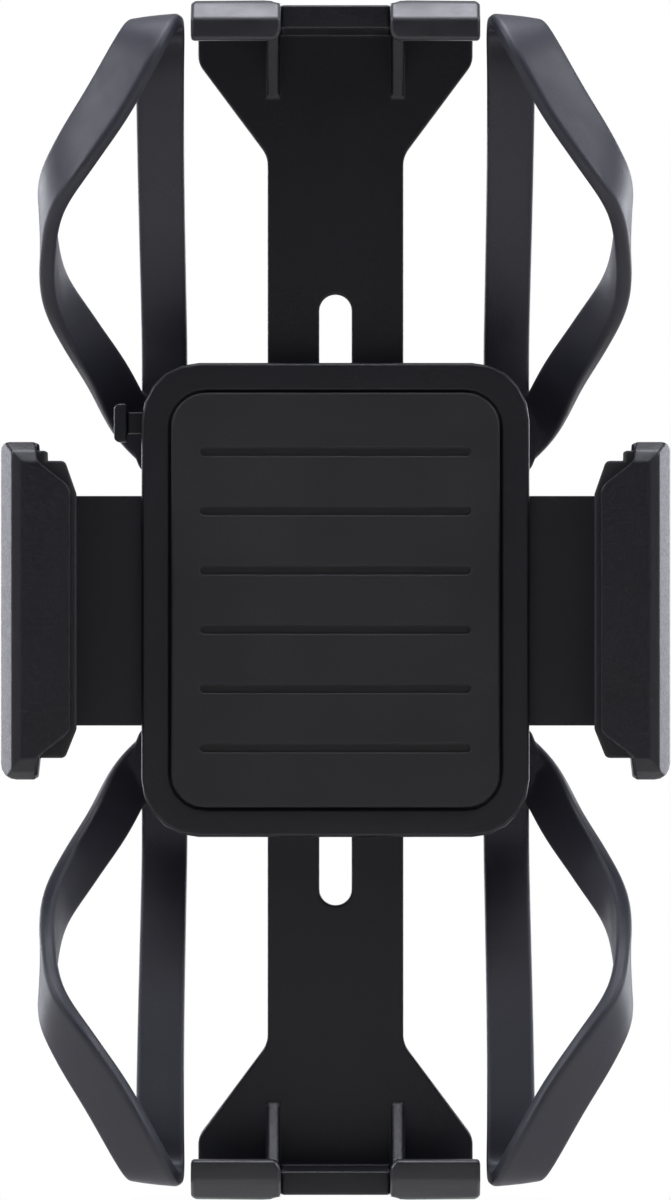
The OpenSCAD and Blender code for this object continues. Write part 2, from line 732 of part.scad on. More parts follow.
// Arm of the right-hand jaw, with its rack finger below the pinion
module arm() {
    rack_z = gear_r;
    first = -floor((finger_tip - 1.5) / gear_pitch);
    last = ceil((jaw_close + 1) / gear_pitch);
    half_tooth = gear_pitch / 4 - backlash / 4;
    slope = tan(pressure);
    translate([0, 0, jaw_z]) difference() {
        union() {
            box([arm_in, web_front, -arm_half], [arm_end, gear_front, arm_half]);
            for (s = [-1, 1]) flip_z(s < 0)
                box([arm_in, gear_front - 0.5, arm_half - rail_h], [arm_end, gear_back, arm_half]);
            box([jaw_foot_in, gear_front - 0.5, -arm_half], [arm_end, gear_back, arm_half]);
            box([-finger_tip, gear_front, -rack_z - tooth_down - finger_h],
                [arm_in + 12, gear_back, -rack_z - tooth_down]);
            for (k = [first:last]) let (x = (k + 0.5) * gear_pitch)
                slab(gear_front, gear_back) polygon([
                    [x - half_tooth - tooth_down * slope, -rack_z - tooth_down - 0.3],
                    [x - half_tooth - tooth_down * slope, -rack_z - tooth_down],
                    [x - half_tooth + tooth_up * slope, -rack_z + tooth_up],
                    [x + half_tooth - tooth_up * slope, -rack_z + tooth_up],
                    [x + half_tooth + tooth_down * slope, -rack_z - tooth_down],
                    [x + half_tooth + tooth_down * slope, -rack_z - tooth_down - 0.3]]);
        }
        for (s = [-1, 1])
            rod(jaw_screw_r - 0.1, gear_back - 3.6, gear_back + 1, jaw_screw_x, s * jaw_screw_z);
    }
}

module right_arm() {
    color("#5c6068") arm();
}

// Turned half round the pinion's axis, so that its finger passes above the pinion
module left_arm() {
    teeth = floor((arm_end - arm_in - 8) / ratchet_pitch);
    top = jaw_z + arm_half;
    color("#5c6068") difference() {
        translate([0, 0, 2 * jaw_z]) rotate([0, 180, 0]) arm();
        for (i = [0:teeth - 1]) let (x = -arm_in - 1 - i * ratchet_pitch)
            slab(gear_front - 0.1, gear_back + 1) polygon([
                [x, top + 0.1], [x, top - ratchet_depth], [x - ratchet_pitch + 0.3, top + 0.1]]);
    }
}

// Outline of a jaw shell from the front: a wide lip between two narrow ends
function jaw_outline() = let (low = jaw_low, top = jaw_top) rounded([
    [jaw_out, low, 2.2],
    [jaw_out, top, 1.2],
    [jaw_in - 0.1, top, 0.3],
    [jaw_in - 0.3, top - 2.6, 1.5],
    [jaw_lip_in, top - 6.2, 2.2],
    [jaw_lip_in, low + 6.6, 1.6],
    [jaw_in - 0.3, low + 3, 1.2],
    [jaw_in, low, 0.3]
]);

// Section of a jaw shell from above, with its two bevels along the outer edge
function jaw_section() = [
    [jaw_lip_in - 1, jaw_front], [jaw_out - 2.95, jaw_front], [jaw_out - 1.35, jaw_front + 0.7],
    [jaw_out, jaw_front + 4.1], [jaw_out, jaw_back - 3], [jaw_out - 1.5, jaw_back],
    [jaw_foot_in, jaw_back], [jaw_foot_in, jaw_foot_front], [jaw_in, jaw_foot_front],
    [jaw_in, jaw_lip_back], [jaw_lip_in - 1, jaw_lip_back]];

// Side view of a jaw shell, bevelled at both ends
function jaw_side() = [
    [jaw_front, jaw_low + 2.8], [jaw_front + 0.9, jaw_low + 1.2], [jaw_front + 2.9, jaw_low],
    [jaw_back - 2, jaw_low], [jaw_back, jaw_low + 4], [jaw_back, jaw_top - 4],
    [jaw_back - 2, jaw_top], [jaw_front + 2.9, jaw_top], [jaw_front + 0.9, jaw_top - 1.2],
    [jaw_front, jaw_top - 2.8]];

module jaw_shell() {
    slot = arm_half + run_gap;
    foot_low = jaw_z - arm_half - 2;
    foot_top = jaw_z + arm_half + 2;
    difference() {
        intersection() {
            translate([0, 0, jaw_low - 1]) linear_extrude(jaw_h + 2) polygon(jaw_section());
            bar_x(jaw_lip_in - 2, jaw_out + 1) polygon(jaw_side());
            union() {
                slab(jaw_front - 1, jaw_foot_front) polygon(jaw_outline());
                slab(jaw_foot_front - 1, jaw_back + 1) polygon([
                    [jaw_out + 1, jaw_low], [jaw_out + 1, jaw_top], [jaw_in, jaw_top],
                    [jaw_foot_in, foot_top], [jaw_foot_in, foot_low], [jaw_in, jaw_low]]);
            }
        }
        box([jaw_foot_in - 1, web_front - run_gap, jaw_z - slot],
            [arm_end + run_gap, gear_back + run_gap, jaw_z + slot]);
        box([jaw_in - 1, phone_front + 2, jaw_z - 14], [jaw_in + 1.6, phone_back - 1.5, jaw_z + 14]);
        for (s = [-1, 1]) translate([jaw_screw_x, 0, jaw_z + s * jaw_screw_z])
            flat_screw_hole(jaw_screw_r, 2.2, gear_back - 1, jaw_back);
    }
}

// Rubber liner with a lip under the shell's lip and a boss that plugs into the wall
module jaw_pad() {
    low = jaw_low + 3;
    top = jaw_top - 1.2;
    lip_in = jaw_lip_in - 0.8;
    back = jaw_foot_front;
    difference() {
        union() {
            box([jaw_pad_in, jaw_lip_back, low], [jaw_in, back, top]);
            slab(jaw_lip_back, phone_front - touch_gap) polygon(rounded([
                [jaw_in, low, 0], [jaw_in, top, 0], [jaw_pad_in + 1, top, 0], [jaw_pad_in + 1, top - 1.4, 0],
                [lip_in + 1.6, top - 1.4, 0.8], [lip_in, top - 6, 1],
                [lip_in, low + 4, 1], [lip_in + 1.6, low, 0.8]]));
            box([jaw_in - 0.5, phone_front + 2.1, jaw_z - 13.9],
                [jaw_in + 1.5, phone_back - 1.6, jaw_z + 13.9]);
        }
        for (i = [-4:4]) box([jaw_pad_in - 1, phone_front + 1.2, jaw_z + i * 4 - 0.5],
            [jaw_pad_in + 0.5, phone_back - 1, jaw_z + i * 4 + 0.5]);
    }
}

module jaw_screws() {
    for (s = [-1, 1]) translate([jaw_screw_x, 0, jaw_z + s * jaw_screw_z])
        flat_screw(jaw_screw_r - 0.15, 2.15, gear_back - 3.4, jaw_back);
}

module left_jaw_shell() {
    color("#24262b") flip_x() jaw_shell();
}

module right_jaw_shell() {
    color("#24262b") jaw_shell();
}

module left_jaw_pad() {
    color("#15161a") flip_x() jaw_pad();
}

module right_jaw_pad() {
    color("#15161a") jaw_pad();
}

module left_jaw_screws() {
    color("#9a9da3") flip_x() jaw_screws();
}

module right_jaw_screws() {
    color("#9a9da3") jaw_screws();
}

// Springs between each finger's tip and the far wall push the jaws open
module jaw_spring(side) {
    finger_z = jaw_z - side * (gear_r + tooth_down + finger_h / 2);
    color("#c0c3c8") flip_x(side > 0)
        coil_x(finger_tip + 0.1, body_in_w / 2 - 0.1, spring_r - spring_wire, spring_wire, 9,
            (gear_front + gear_back) / 2, finger_z);
}

module left_spring() {
    jaw_spring(-1);
}

module right_spring() {
    jaw_spring(1);
}

// Release ---------------------------------------------------------------------------------------------------

module release_button() {
    low = button_z - button_h / 2;
    high = button_z + button_h / 2;
    y0 = gear_front + 0.1;
    y1 = gear_back - 0.1;
    cap = -body_w / 2 - button_travel - 0.6;
    color("#33363d") difference() {
        union() {
            box([cap - 0.5, y0, low], [pawl_x - 1.7, y1, high]);
            slab(y0 - 0.9, y1 + 0.9) polygon(rounded([
                [cap - 1.8, low - 1.2, 0.8], [cap, low - 1.2, 0], [cap, high + 1.2, 0],
                [cap - 1.8, high + 1.2, 0.8]]));
        }
        box([button_spring_x, y0 - 1, low + 0.6], [button_peg_x + 0.9, y1 + 1, high - 0.6]);
    }
}

// Coil inside the button's window, between the window's outer end and a peg on the front plate
module button_spring() {
    color("#c0c3c8") coil_x(button_spring_x + 0.1, button_peg_x - button_peg_r - 0.1, 0.55, 0.14, 5,
        (gear_front + gear_back) / 2, button_z);
}

// The pawl hooks over the upper arm's ratchet, and its upper end meets the button
module release_pawl() {
    tip_x = pawl_x - 9;
    tip_z = jaw_z + arm_half + 0.25;
    y0 = gear_front + 0.2;
    color("#b9bcc2") difference() {
        slab(y0, y0 + pawl_t) {
            polygon(rounded([
                [pawl_x + 1.5, pawl_z - 1.8, 0.6], [pawl_x + 1.5, pawl_z + 2, 0.6],
                [pawl_x - 3, pawl_z + 1, 1], [tip_x - 0.4, tip_z + 3, 0.6],
                [tip_x, tip_z, 0], [tip_x + 1.8, tip_z + 1.6, 0.3],
                [pawl_x - 3, pawl_z - 1.4, 1]]));
            translate([pawl_x, pawl_z]) circle(r = 2.2);
            polygon([[pawl_x - 1.2, pawl_z], [pawl_x - 0.9, button_z], [pawl_x + 0.3, button_z],
                [pawl_x + 1.4, pawl_z]]);
            translate([pawl_x - 0.5, button_z]) circle(r = 1);
        }
        rod(pawl_pin_r + run_gap, y0 - 1, y0 + pawl_t + 1, pawl_x, pawl_z);
    }
}

module pawl_pin() {
    color("#9a9da3") rod(pawl_pin_r - 0.02, pad_back + 0.7, mid_back - 0.1, pawl_x, pawl_z);
}

// Wire coil on the pawl's pin, with one leg along the pawl and one against the rail below it
module pawl_spring() {
    wire = 0.16;
    coil_r = pawl_pin_r + 0.3;
    y0 = gear_front + 0.25 + pawl_t;
    y1 = mid_front - 0.1;
    color("#c0c3c8") union() {
        translate([pawl_x, 0, pawl_z]) rotate([0, 0, 90]) coil_x(y0, y1, coil_r, wire, 3, 0, 0);
        translate([pawl_x, y0 + wire, pawl_z + coil_r]) rotate([0, -96, 0]) cylinder(r = wire, h = 6);
        translate([pawl_x, y1 - wire, pawl_z - coil_r]) rotate([0, 130, 0]) cylinder(r = wire, h = 4.5);
    }
}

// Feet ------------------------------------------------------------------------------------------------------

// The top foot: a slotted stem, a flared back and a shelf across the phone's end
module foot() {
    flare_low = foot_in_z - 17;
    toe_half = foot_w / 2 - 0.8;
    bridge = foot_w / 2 - toe_w;
    shelf_front = phone_front + 1.6;
    union() {
        slab(stem_front, stem_back) difference() {
            polygon(rounded([
                [-stem_w / 2, stem_end, 1.2], [stem_w / 2, stem_end, 1.2], [stem_w / 2, flare_low, 4],
                [toe_half, foot_in_z - 4, 3], [toe_half, foot_top, 1], [-toe_half, foot_top, 1],
                [-toe_half, foot_in_z - 4, 3], [-stem_w / 2, flare_low, 4]]));
            polygon(rounded([
                [-lock_slot, lock_z - foot_out - lock_slot, lock_slot - 0.01],
                [lock_slot, lock_z - foot_out - lock_slot, lock_slot - 0.01],
                [lock_slot, lock_z + foot_in + lock_slot, lock_slot - 0.01],
                [-lock_slot, lock_z + foot_in + lock_slot, lock_slot - 0.01]], 8));
        }
        // Shelf, thinner where the toe grips cover it
        box([-toe_half, phone_front + 3, foot_in_z + 0.8], [toe_half, stem_back, foot_top - 0.2]);
        box([-bridge + 1.4, shelf_front, foot_in_z], [bridge - 1.4, stem_back, foot_top]);
        for (s = [-1, 1]) flip_x(s < 0)
            bar_x(bridge - 1, bridge + 0.6) polygon([
                [stem_front + 0.1, foot_in_z - 9], [stem_front + 0.1, foot_in_z + 1],
                [toe_back + 0.1, foot_in_z + 1]]);
    }
}

// Rubber grips that slip over the shelf's two toes and hook over the phone's edge
module toe_grips() {
    hook_low = foot_in_z - touch_gap - toe_hook;
    front = jaw_front + 0.2;
    lip = phone_front - touch_gap;
    toe_in = foot_w / 2 - toe_w;
    for (s = [-1, 1]) flip_x(s < 0) difference() {
        intersection() {
            bar_x(toe_in - 1.5, foot_w / 2) polygon([
                [toe_back, foot_in_z], [lip, foot_in_z], [lip, hook_low + 0.4], [lip - 0.5, hook_low],
                [front + 0.4, hook_low], [front, hook_low + 0.5], [front, toe_top - 2.5],
                [front + 2.5, toe_top - 0.4], [front + 3.6, toe_top], [toe_back, toe_top]]);
            // Chamfered outer corner and a long slope towards the bridge
            slab(front - 1, toe_back + 1) polygon(rounded([
                [toe_in, hook_low - 1, 0], [foot_w / 2, hook_low - 1, 0], [foot_w / 2, toe_top, 0.8],
                [toe_in, toe_top, 1], [toe_in - 1.5, foot_top, 0], [toe_in - 1.5, hook_low + 1.4, 0.5]]));
        }
        box([toe_in - 2, phone_front + 2.9, foot_in_z + 0.75],
            [foot_w / 2 - 0.75, toe_back + 1, foot_top - 0.15]);
        box([0, front - 1, foot_in_z - 3], [toe_in - 1.35, toe_back + 1, toe_top + 1]);
    }
}

module lock_screw() {
    flutes = 12;
    difference() {
        union() {
            rod(lock_r, mid_front - nut_t - 0.6, back_y + 1, 0, lock_z);
            rod(5.5, back_y + soft_gap, back_y + 5, 0, lock_z);
        }
        for (i = [0:flutes - 1]) translate([0, 0, lock_z]) rotate([0, 360 * i / flutes, 0])
            rod(0.7, back_y, back_y + 6, 5.8);
    }
}

module top_foot() {
    color("#24262b") foot();
}

module bottom_foot() {
    color("#24262b") flip_z() foot();
}

module top_toe_grips() {
    color("#1a1b1f") toe_grips();
}

module bottom_toe_grips() {
    color("#1a1b1f") flip_z() toe_grips();
}

module top_lock_screw() {
    color("#33363d") lock_screw();
}

module bottom_lock_screw() {
    color("#33363d") flip_z() lock_screw();
}

// Which piece to draw ---------------------------------------------------------------------------------------

clamp_frame();
front_liner();
thread_insert();
ball_stud();
stud_washer();
clamp_jaw();
rear_liner();
jaw_retainer();
retainer_screws();
clamp_knob();
clamp_screw();
knob_cap();
seat_ring();
seat_cup();
lock_collar();
ball_socket();
socket_screws();
back_cover();
cover_screws();
mid_plate();
front_plate();
phone_pad();
pinion_axle();
pinion();
foot_lock_nuts();
corner_harness();
left_arm();
left_jaw_shell();
left_jaw_pad();
left_jaw_screws();
left_spring();
right_arm();
right_jaw_shell();
right_jaw_pad();
right_jaw_screws();
right_spring();
release_button();
button_spring();
release_pawl();
pawl_pin();
pawl_spring();
top_foot();
top_toe_grips();
top_lock_screw();
bottom_foot();
bottom_toe_grips();
bottom_lock_screw();
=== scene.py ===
"""Looks of a phone handlebar mount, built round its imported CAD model.

The mount stands with its bar along X and the phone's face towards -Y. Shapes are worked out in millimetres
and put into the frame in metres.
"""

import json
import math

import bmesh
import bpy
import numpy as np
from mathutils import Matrix, Vector


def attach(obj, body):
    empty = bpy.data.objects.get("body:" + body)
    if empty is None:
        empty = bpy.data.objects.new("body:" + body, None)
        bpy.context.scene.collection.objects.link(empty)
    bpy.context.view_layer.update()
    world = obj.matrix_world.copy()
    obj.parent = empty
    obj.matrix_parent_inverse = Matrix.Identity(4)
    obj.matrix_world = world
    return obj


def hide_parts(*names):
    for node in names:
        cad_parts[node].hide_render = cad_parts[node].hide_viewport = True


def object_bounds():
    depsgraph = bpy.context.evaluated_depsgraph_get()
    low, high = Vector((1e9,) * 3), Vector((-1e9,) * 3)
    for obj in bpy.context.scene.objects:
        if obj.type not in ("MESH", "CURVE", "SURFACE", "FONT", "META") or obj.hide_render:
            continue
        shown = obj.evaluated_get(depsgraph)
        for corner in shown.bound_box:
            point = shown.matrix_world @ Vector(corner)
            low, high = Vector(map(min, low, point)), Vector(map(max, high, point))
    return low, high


bl_info = {
    "name": "Phone handlebar mount",
    "version": (1, 0, 0),
    "blender": (4, 5, 0),
    "location": "View3D > Sidebar > Phone mount",
    "description": "Builds the rubber, moulded and metal pieces of a phone handlebar mount and its studio",
    "category": "Object",
}

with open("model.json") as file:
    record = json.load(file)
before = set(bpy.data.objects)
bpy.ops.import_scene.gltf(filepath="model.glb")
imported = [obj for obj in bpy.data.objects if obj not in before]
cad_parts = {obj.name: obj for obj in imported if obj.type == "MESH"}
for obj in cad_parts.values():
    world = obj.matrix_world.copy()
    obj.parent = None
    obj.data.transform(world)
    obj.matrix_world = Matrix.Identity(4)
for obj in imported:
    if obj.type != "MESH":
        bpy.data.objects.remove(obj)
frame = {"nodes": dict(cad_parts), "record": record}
CAD_LOW, CAD_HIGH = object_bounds()
NODES = frame["nodes"]
BODY_OF = {node: body for body, nodes in frame["record"]["behaviour"]["bodies"].items() for node in nodes}
SLOT_OF = {row["node"]: row["material_slot"] for row in frame["record"]["subparts"]}
MM = 0.001
SIDES = (("left", -1), ("right", 1))
ENDS = (("top", 1), ("bottom", -1))
QUARTERS = ((-1, -1), (-1, 1), (1, -1), (1, 1))

# Places shared by the pieces, in millimetres
PHONE_BACK = -67.5
PHONE_FRONT = -76.0
PHONE_EDGE_X = 38.9
PHONE_EDGE_Z = 79.0
JAW_FRONT = -79.5
JAW_BACK = -56.5
JAW_OUT = 46.3
JAW_IN = 41.5
JAW_LOW = -24.85
JAW_TOP = 21.85
JAW_MID = -1.5
LIP_IN = 36.6
LIP_BACK = -77.3
PAD_IN = 39.0
FOOT_IN = 37.8
FOOT_FRONT = -66.6
RIB_FRONT = -74.0
RIB_BACK = -69.0
RIB_HALF = 14.0

# Rounding of the CAD mouldings in metres, and the angles that join, round and sharpen edges
MOULDING_EDGE = 0.00028
FLAT_ANGLE = math.radians(0.5)
EDGE_ANGLE = math.radians(25.0)
SMOOTH_ANGLE = math.radians(38.0)


# Sizes and colours that a user would change -----------------------------------------------------------------

def length(name, description, default):
    """A length in metres with a sensible display."""
    return bpy.props.FloatProperty(name=name, description=description, default=default, min=0.0,
                                   precision=5, unit="LENGTH")


def colour(name, description, default):
    return bpy.props.FloatVectorProperty(name=name, description=description, default=default, size=3,
                                         min=0.0, max=1.0, subtype="COLOR")


def share(name, description, default):
    return bpy.props.FloatProperty(name=name, description=description, default=default, min=0.0, max=1.0,
                                   subtype="FACTOR")


def radiance(name, description, default):
    return bpy.props.FloatProperty(name=name, description=description, default=default, min=0.0)


class MountSizes(bpy.types.PropertyGroup):
    """Sizes of the pieces that are made here"""
    strap_width: length("Strap width", "Width of the corner straps", 0.0064)
    strap_thickness: length("Strap thickness", "Thickness of the corner straps", 0.0022)
    strap_corner: length("Strap corner", "Rounding of a strap's long edges", 0.0006)
    strap_crown: length("Strap crown", "Rise of a strap's outer face along its middle", 0.00012)
    shell_edge: length("Shell edge", "Rounding of the jaws' moulded edges", 0.00028)
    rubber_edge: length("Rubber edge", "Rounding of the rubber pads' edges", 0.0003)
    moulding_edge: length("Moulding edge", "Rounding of the other moulded edges", MOULDING_EDGE)
    rib_pitch: length("Jaw rib pitch", "Distance between the grooves of a jaw's rubber", 0.004)
    rib_depth: length("Jaw rib depth", "Depth of those grooves", 0.0005)
    liner_pitch: length("Liner rib pitch", "Distance between the ribs that grip the bar", 0.003)
    liner_depth: length("Liner rib depth", "Depth between those ribs", 0.00045)


class MountFinishes(bpy.types.PropertyGroup):
    """Colours and gloss of the materials"""
    shell: colour("Moulded plastic", "Black glass-filled nylon of the jaws, feet and covers",
                  (0.0056, 0.0059, 0.0094))
    clamp: colour("Clamp plastic", "Black plastic of the clamp, collar and knob", (0.006, 0.0062, 0.0085))
    straps: colour("Strap silicone", "Charcoal silicone of the harness", (0.0175, 0.0178, 0.028))
    pads: colour("Pad rubber", "Black rubber of the pads and liners", (0.0075, 0.0077, 0.0098))
    toes: colour("Toe rubber", "Satin rubber of the feet's toes", (0.0075, 0.0077, 0.0115))
    nylon: colour("Nylon", "Undyed nylon of the gear and ball seats", (0.62, 0.6, 0.54))
    steel: colour("Steel", "Zinc-plated screws, springs and plates", (0.56, 0.57, 0.59))
    brass: colour("Brass", "Brass of the threaded insert", (0.72, 0.53, 0.24))
    ball: colour("Ball metal", "Turned aluminium of the ball stud", (0.7, 0.71, 0.73))
    shell_rough: share("Plastic roughness", "How matt the moulded plastic is", 0.4)
    strap_rough: share("Silicone roughness", "How matt the straps are", 0.46)
    wear: share("Edge wear", "How far the moulded edges are rubbed", 0.4)


class MountStudio(bpy.types.PropertyGroup):
    """Floor, light and camera"""
    view_height: length("View height", "Height of the picture at the mount", 0.1661)
    camera_distance: length("Camera distance", "From the camera to the front of the mount", 1.6)
    floor_drop: length("Floor drop", "From the mount's lowest point to the floor", 0.06)
    floor: colour("Floor", "Pale floor", (0.63, 0.622, 0.585))
    top_light: radiance("Top light", "Radiance of the softbox above", 8.0)
    rim_light: radiance("Rim light", "Radiance of the two softboxes behind", 7.5)
    side_light: radiance("Side light", "Radiance of the two upper side softboxes", 7.5)
    key_light: radiance("Key light", "Radiance of the front softbox", 0.7)
    fill: share("Fill", "Even light from all round", 0.25)


# Material nodes ---------------------------------------------------------------------------------------------

def new_material(name):
    """An empty node material with its output and a Principled shader."""
    material = bpy.data.materials.new(name)
    material.use_nodes = True
    tree = material.node_tree
    shader = next(n for n in tree.nodes if n.type == "BSDF_PRINCIPLED")
    return material, tree, shader


def add(tree, kind, **values):
    """A node of that kind, whose unlinked sockets and settings are set by name."""
    node = tree.nodes.new("ShaderNode" + kind)
    for key, value in values.items():
        if key in node.inputs:
            node.inputs[key].default_value = value
        else:
            setattr(node, key, value)
    return node


def noise(tree, place, scale, detail=3.0, rough=0.55):
    """Fractal noise on the piece's own place, at that many cells a metre."""
    node = add(tree, "TexNoise", Scale=scale, Detail=detail, Roughness=rough)
    tree.links.new(place, node.inputs["Vector"])
    return node.outputs["Fac"]


def between(tree, factor, low, high, at_low=0.0, at_high=1.0):
    """The factor's span low to high, stretched smoothly over at_low to at_high."""
    node = add(tree, "MapRange", interpolation_type="SMOOTHSTEP")
    tree.links.new(factor, node.inputs["Value"])
    for socket, value in zip(("From Min", "From Max", "To Min", "To Max"), (low, high, at_low, at_high)):
        node.inputs[socket].default_value = value
    return node.outputs["Result"]


def blend_colours(tree, factor, first, second):
    """First colour where the factor is 0 and second where it is 1; each is a colour or a socket."""
    node = add(tree, "Mix", data_type="RGBA")
    tree.links.new(factor, node.inputs["Factor"])
    for socket, value in ((node.inputs[6], first), (node.inputs[7], second)):
        if isinstance(value, bpy.types.NodeSocket):
            tree.links.new(value, socket)
        else:
            socket.default_value = (*value, 1.0)
    return node.outputs[2]


def arithmetic(tree, operation, first, second):
    node = add(tree, "Math", operation=operation)
    for socket, value in zip(node.inputs, (first, second)):
        if isinstance(value, bpy.types.NodeSocket):
            tree.links.new(value, socket)
        else:
            socket.default_value = value
    return node.outputs[0]


def edge_mask(tree, radius):
    """0 on flats and more on edges: 1 less the cosine between the surface and the same surface rounded."""
    rounded = add(tree, "Bevel", samples=4, Radius=radius)
    turn = add(tree, "VectorMath", operation="DOT_PRODUCT")
    tree.links.new(rounded.outputs[0], turn.inputs[0])
    tree.links.new(add(tree, "NewGeometry").outputs["Normal"], turn.inputs[1])
    return arithmetic(tree, "SUBTRACT", 1.0, turn.outputs["Value"])


def skin(tree, shader, height, strength, distance, edge):
    """Bump from a height, over edges that are softened to the given radius."""
    rounded = add(tree, "Bevel", samples=6, Radius=edge)
    bump = add(tree, "Bump", Strength=strength, Distance=distance)
    tree.links.new(rounded.outputs[0], bump.inputs["Normal"])
    tree.links.new(height, bump.inputs["Height"])
    tree.links.new(bump.outputs["Normal"], shader.inputs["Normal"])


def moulded_plastic(name, tint, rough, wear):
    """Spark-eroded moulded nylon: fine grain, faint flow marks, and edges rubbed paler and smoother."""
    material, tree, shader = new_material(name)
    place = add(tree, "TexCoord").outputs["Object"]
    grain = noise(tree, place, 3300.0, detail=2.0, rough=0.6)
    cloud = noise(tree, place, 95.0, detail=4.0)
    scuff = noise(tree, place, 800.0, detail=5.0, rough=0.7)
    worn = arithmetic(tree, "MULTIPLY", between(tree, edge_mask(tree, 0.0007), 0.03, 0.3),
                      between(tree, scuff, 0.4, 0.62))
    pale = tuple(min(1.0, c * 1.9 + 0.012) for c in tint)
    dark = tuple(c * 0.78 for c in tint)
    base = blend_colours(tree, between(tree, cloud, 0.35, 0.68), dark, tint)
    base = blend_colours(tree, arithmetic(tree, "MULTIPLY", worn, wear), base, pale)
    tree.links.new(base, shader.inputs["Base Color"])
    smooth = between(tree, grain, 0.3, 0.7, rough + 0.08, rough - 0.08)
    smooth = arithmetic(tree, "SUBTRACT", smooth, arithmetic(tree, "MULTIPLY", worn, 0.06))
    tree.links.new(smooth, shader.inputs["Roughness"])
    shader.inputs["Specular IOR Level"].default_value = 0.5
    skin(tree, shader, grain, strength=0.5, distance=0.00003, edge=0.0003)
    return material


def rubber(name, tint, rough, grain_scale=2700.0, dust=0.4, sheen=0.05, edge=0.0004, gloss=0.5):
    """Matt silicone or rubber: a powdery sheen, fine skin grain, and dust that settles in a soft pattern."""
    material, tree, shader = new_material(name)
    place = add(tree, "TexCoord").outputs["Object"]
    grain = noise(tree, place, grain_scale, detail=3.0, rough=0.65)
    cloud = noise(tree, place, 130.0, detail=5.0, rough=0.6)
    specks = noise(tree, place, 2600.0, detail=2.0, rough=0.5)
    dusty = arithmetic(tree, "MULTIPLY", between(tree, cloud, 0.45, 0.75), between(tree, specks, 0.45, 0.7))
    pale = tuple(min(1.0, c * 1.5 + 0.015) for c in tint)
    base = blend_colours(tree, between(tree, cloud, 0.3, 0.7), tuple(c * 0.86 for c in tint), tint)
    base = blend_colours(tree, arithmetic(tree, "MULTIPLY", dusty, dust), base, pale)
    tree.links.new(base, shader.inputs["Base Color"])
    tree.links.new(between(tree, cloud, 0.3, 0.7, rough - 0.04, rough + 0.06), shader.inputs["Roughness"])
    shader.inputs["Specular IOR Level"].default_value = gloss
    shader.inputs["Sheen Weight"].default_value = sheen
    shader.inputs["Sheen Roughness"].default_value = 0.45
    shader.inputs["Sheen Tint"].default_value = (0.85, 0.87, 1.0, 1.0)
    skin(tree, shader, grain, strength=0.5, distance=0.00004, edge=edge)
    return material


def metal(name, tint, rough, marks_scale=900.0):
    """Machined or plated metal: fine turning marks round the screw axis and a mottled skin."""
    material, tree, shader = new_material(name)
    shader.inputs["Metallic"].default_value = 1.0
    place = add(tree, "TexCoord").outputs["Object"]
    cloud = noise(tree, place, 260.0, detail=4.0, rough=0.6)
    along = add(tree, "Mapping")
    along.inputs["Scale"].default_value = (0.1, 6.0, 0.1)
    tree.links.new(place, along.inputs["Vector"])
    marks = noise(tree, along.outputs["Vector"], marks_scale, detail=2.0, rough=0.5)
    base = blend_colours(tree, between(tree, cloud, 0.3, 0.7), tuple(c * 0.8 for c in tint), tint)
    tree.links.new(base, shader.inputs["Base Color"])
    tree.links.new(between(tree, marks, 0.3, 0.7, rough - 0.06, rough + 0.08), shader.inputs["Roughness"])
    skin(tree, shader, marks, strength=0.3, distance=0.000008, edge=0.00012)
    return material


def finish_of(slot):
    """The finish of a record slot, made the first time that it is asked for."""
    name = slot + "_finish"
    if name in bpy.data.materials:
        return bpy.data.materials[name]
    look = bpy.context.scene.mount_finishes
    rough = look.shell_rough
    makers = {
        "shell_plastic": lambda: moulded_plastic(name, tuple(look.shell), rough, look.wear),
        "arm_plastic": lambda: moulded_plastic(name, tuple(look.shell), rough + 0.06, look.wear * 0.5),
        "clamp_plastic": lambda: moulded_plastic(name, tuple(look.clamp), rough + 0.03, look.wear),
        "silicone": lambda: rubber(name, tuple(look.straps), look.strap_rough, edge=0.0007),
        "pad_rubber": lambda: rubber(name, tuple(look.pads), look.strap_rough + 0.1, grain_scale=3000.0,
                                     dust=0.25, sheen=0.03),
        "toe_rubber": lambda: rubber(name, tuple(look.toes), rough - 0.02, grain_scale=3000.0,
                                     dust=0.2, sheen=0.03, gloss=0.75),
        "nylon": lambda: moulded_plastic(name, tuple(look.nylon), 0.42, 0.0),
        "steel": lambda: metal(name, tuple(look.steel), 0.3),
        "brass": lambda: metal(name, tuple(look.brass), 0.3),
        "ball_metal": lambda: metal(name, tuple(look.ball), 0.26, marks_scale=1400.0),
    }
    return makers[slot]()


# Shapes -----------------------------------------------------------------------------------------------------

AXES = {"X": (1, 2, 0), "Y": (0, 2, 1), "Z": (0, 1, 2)}


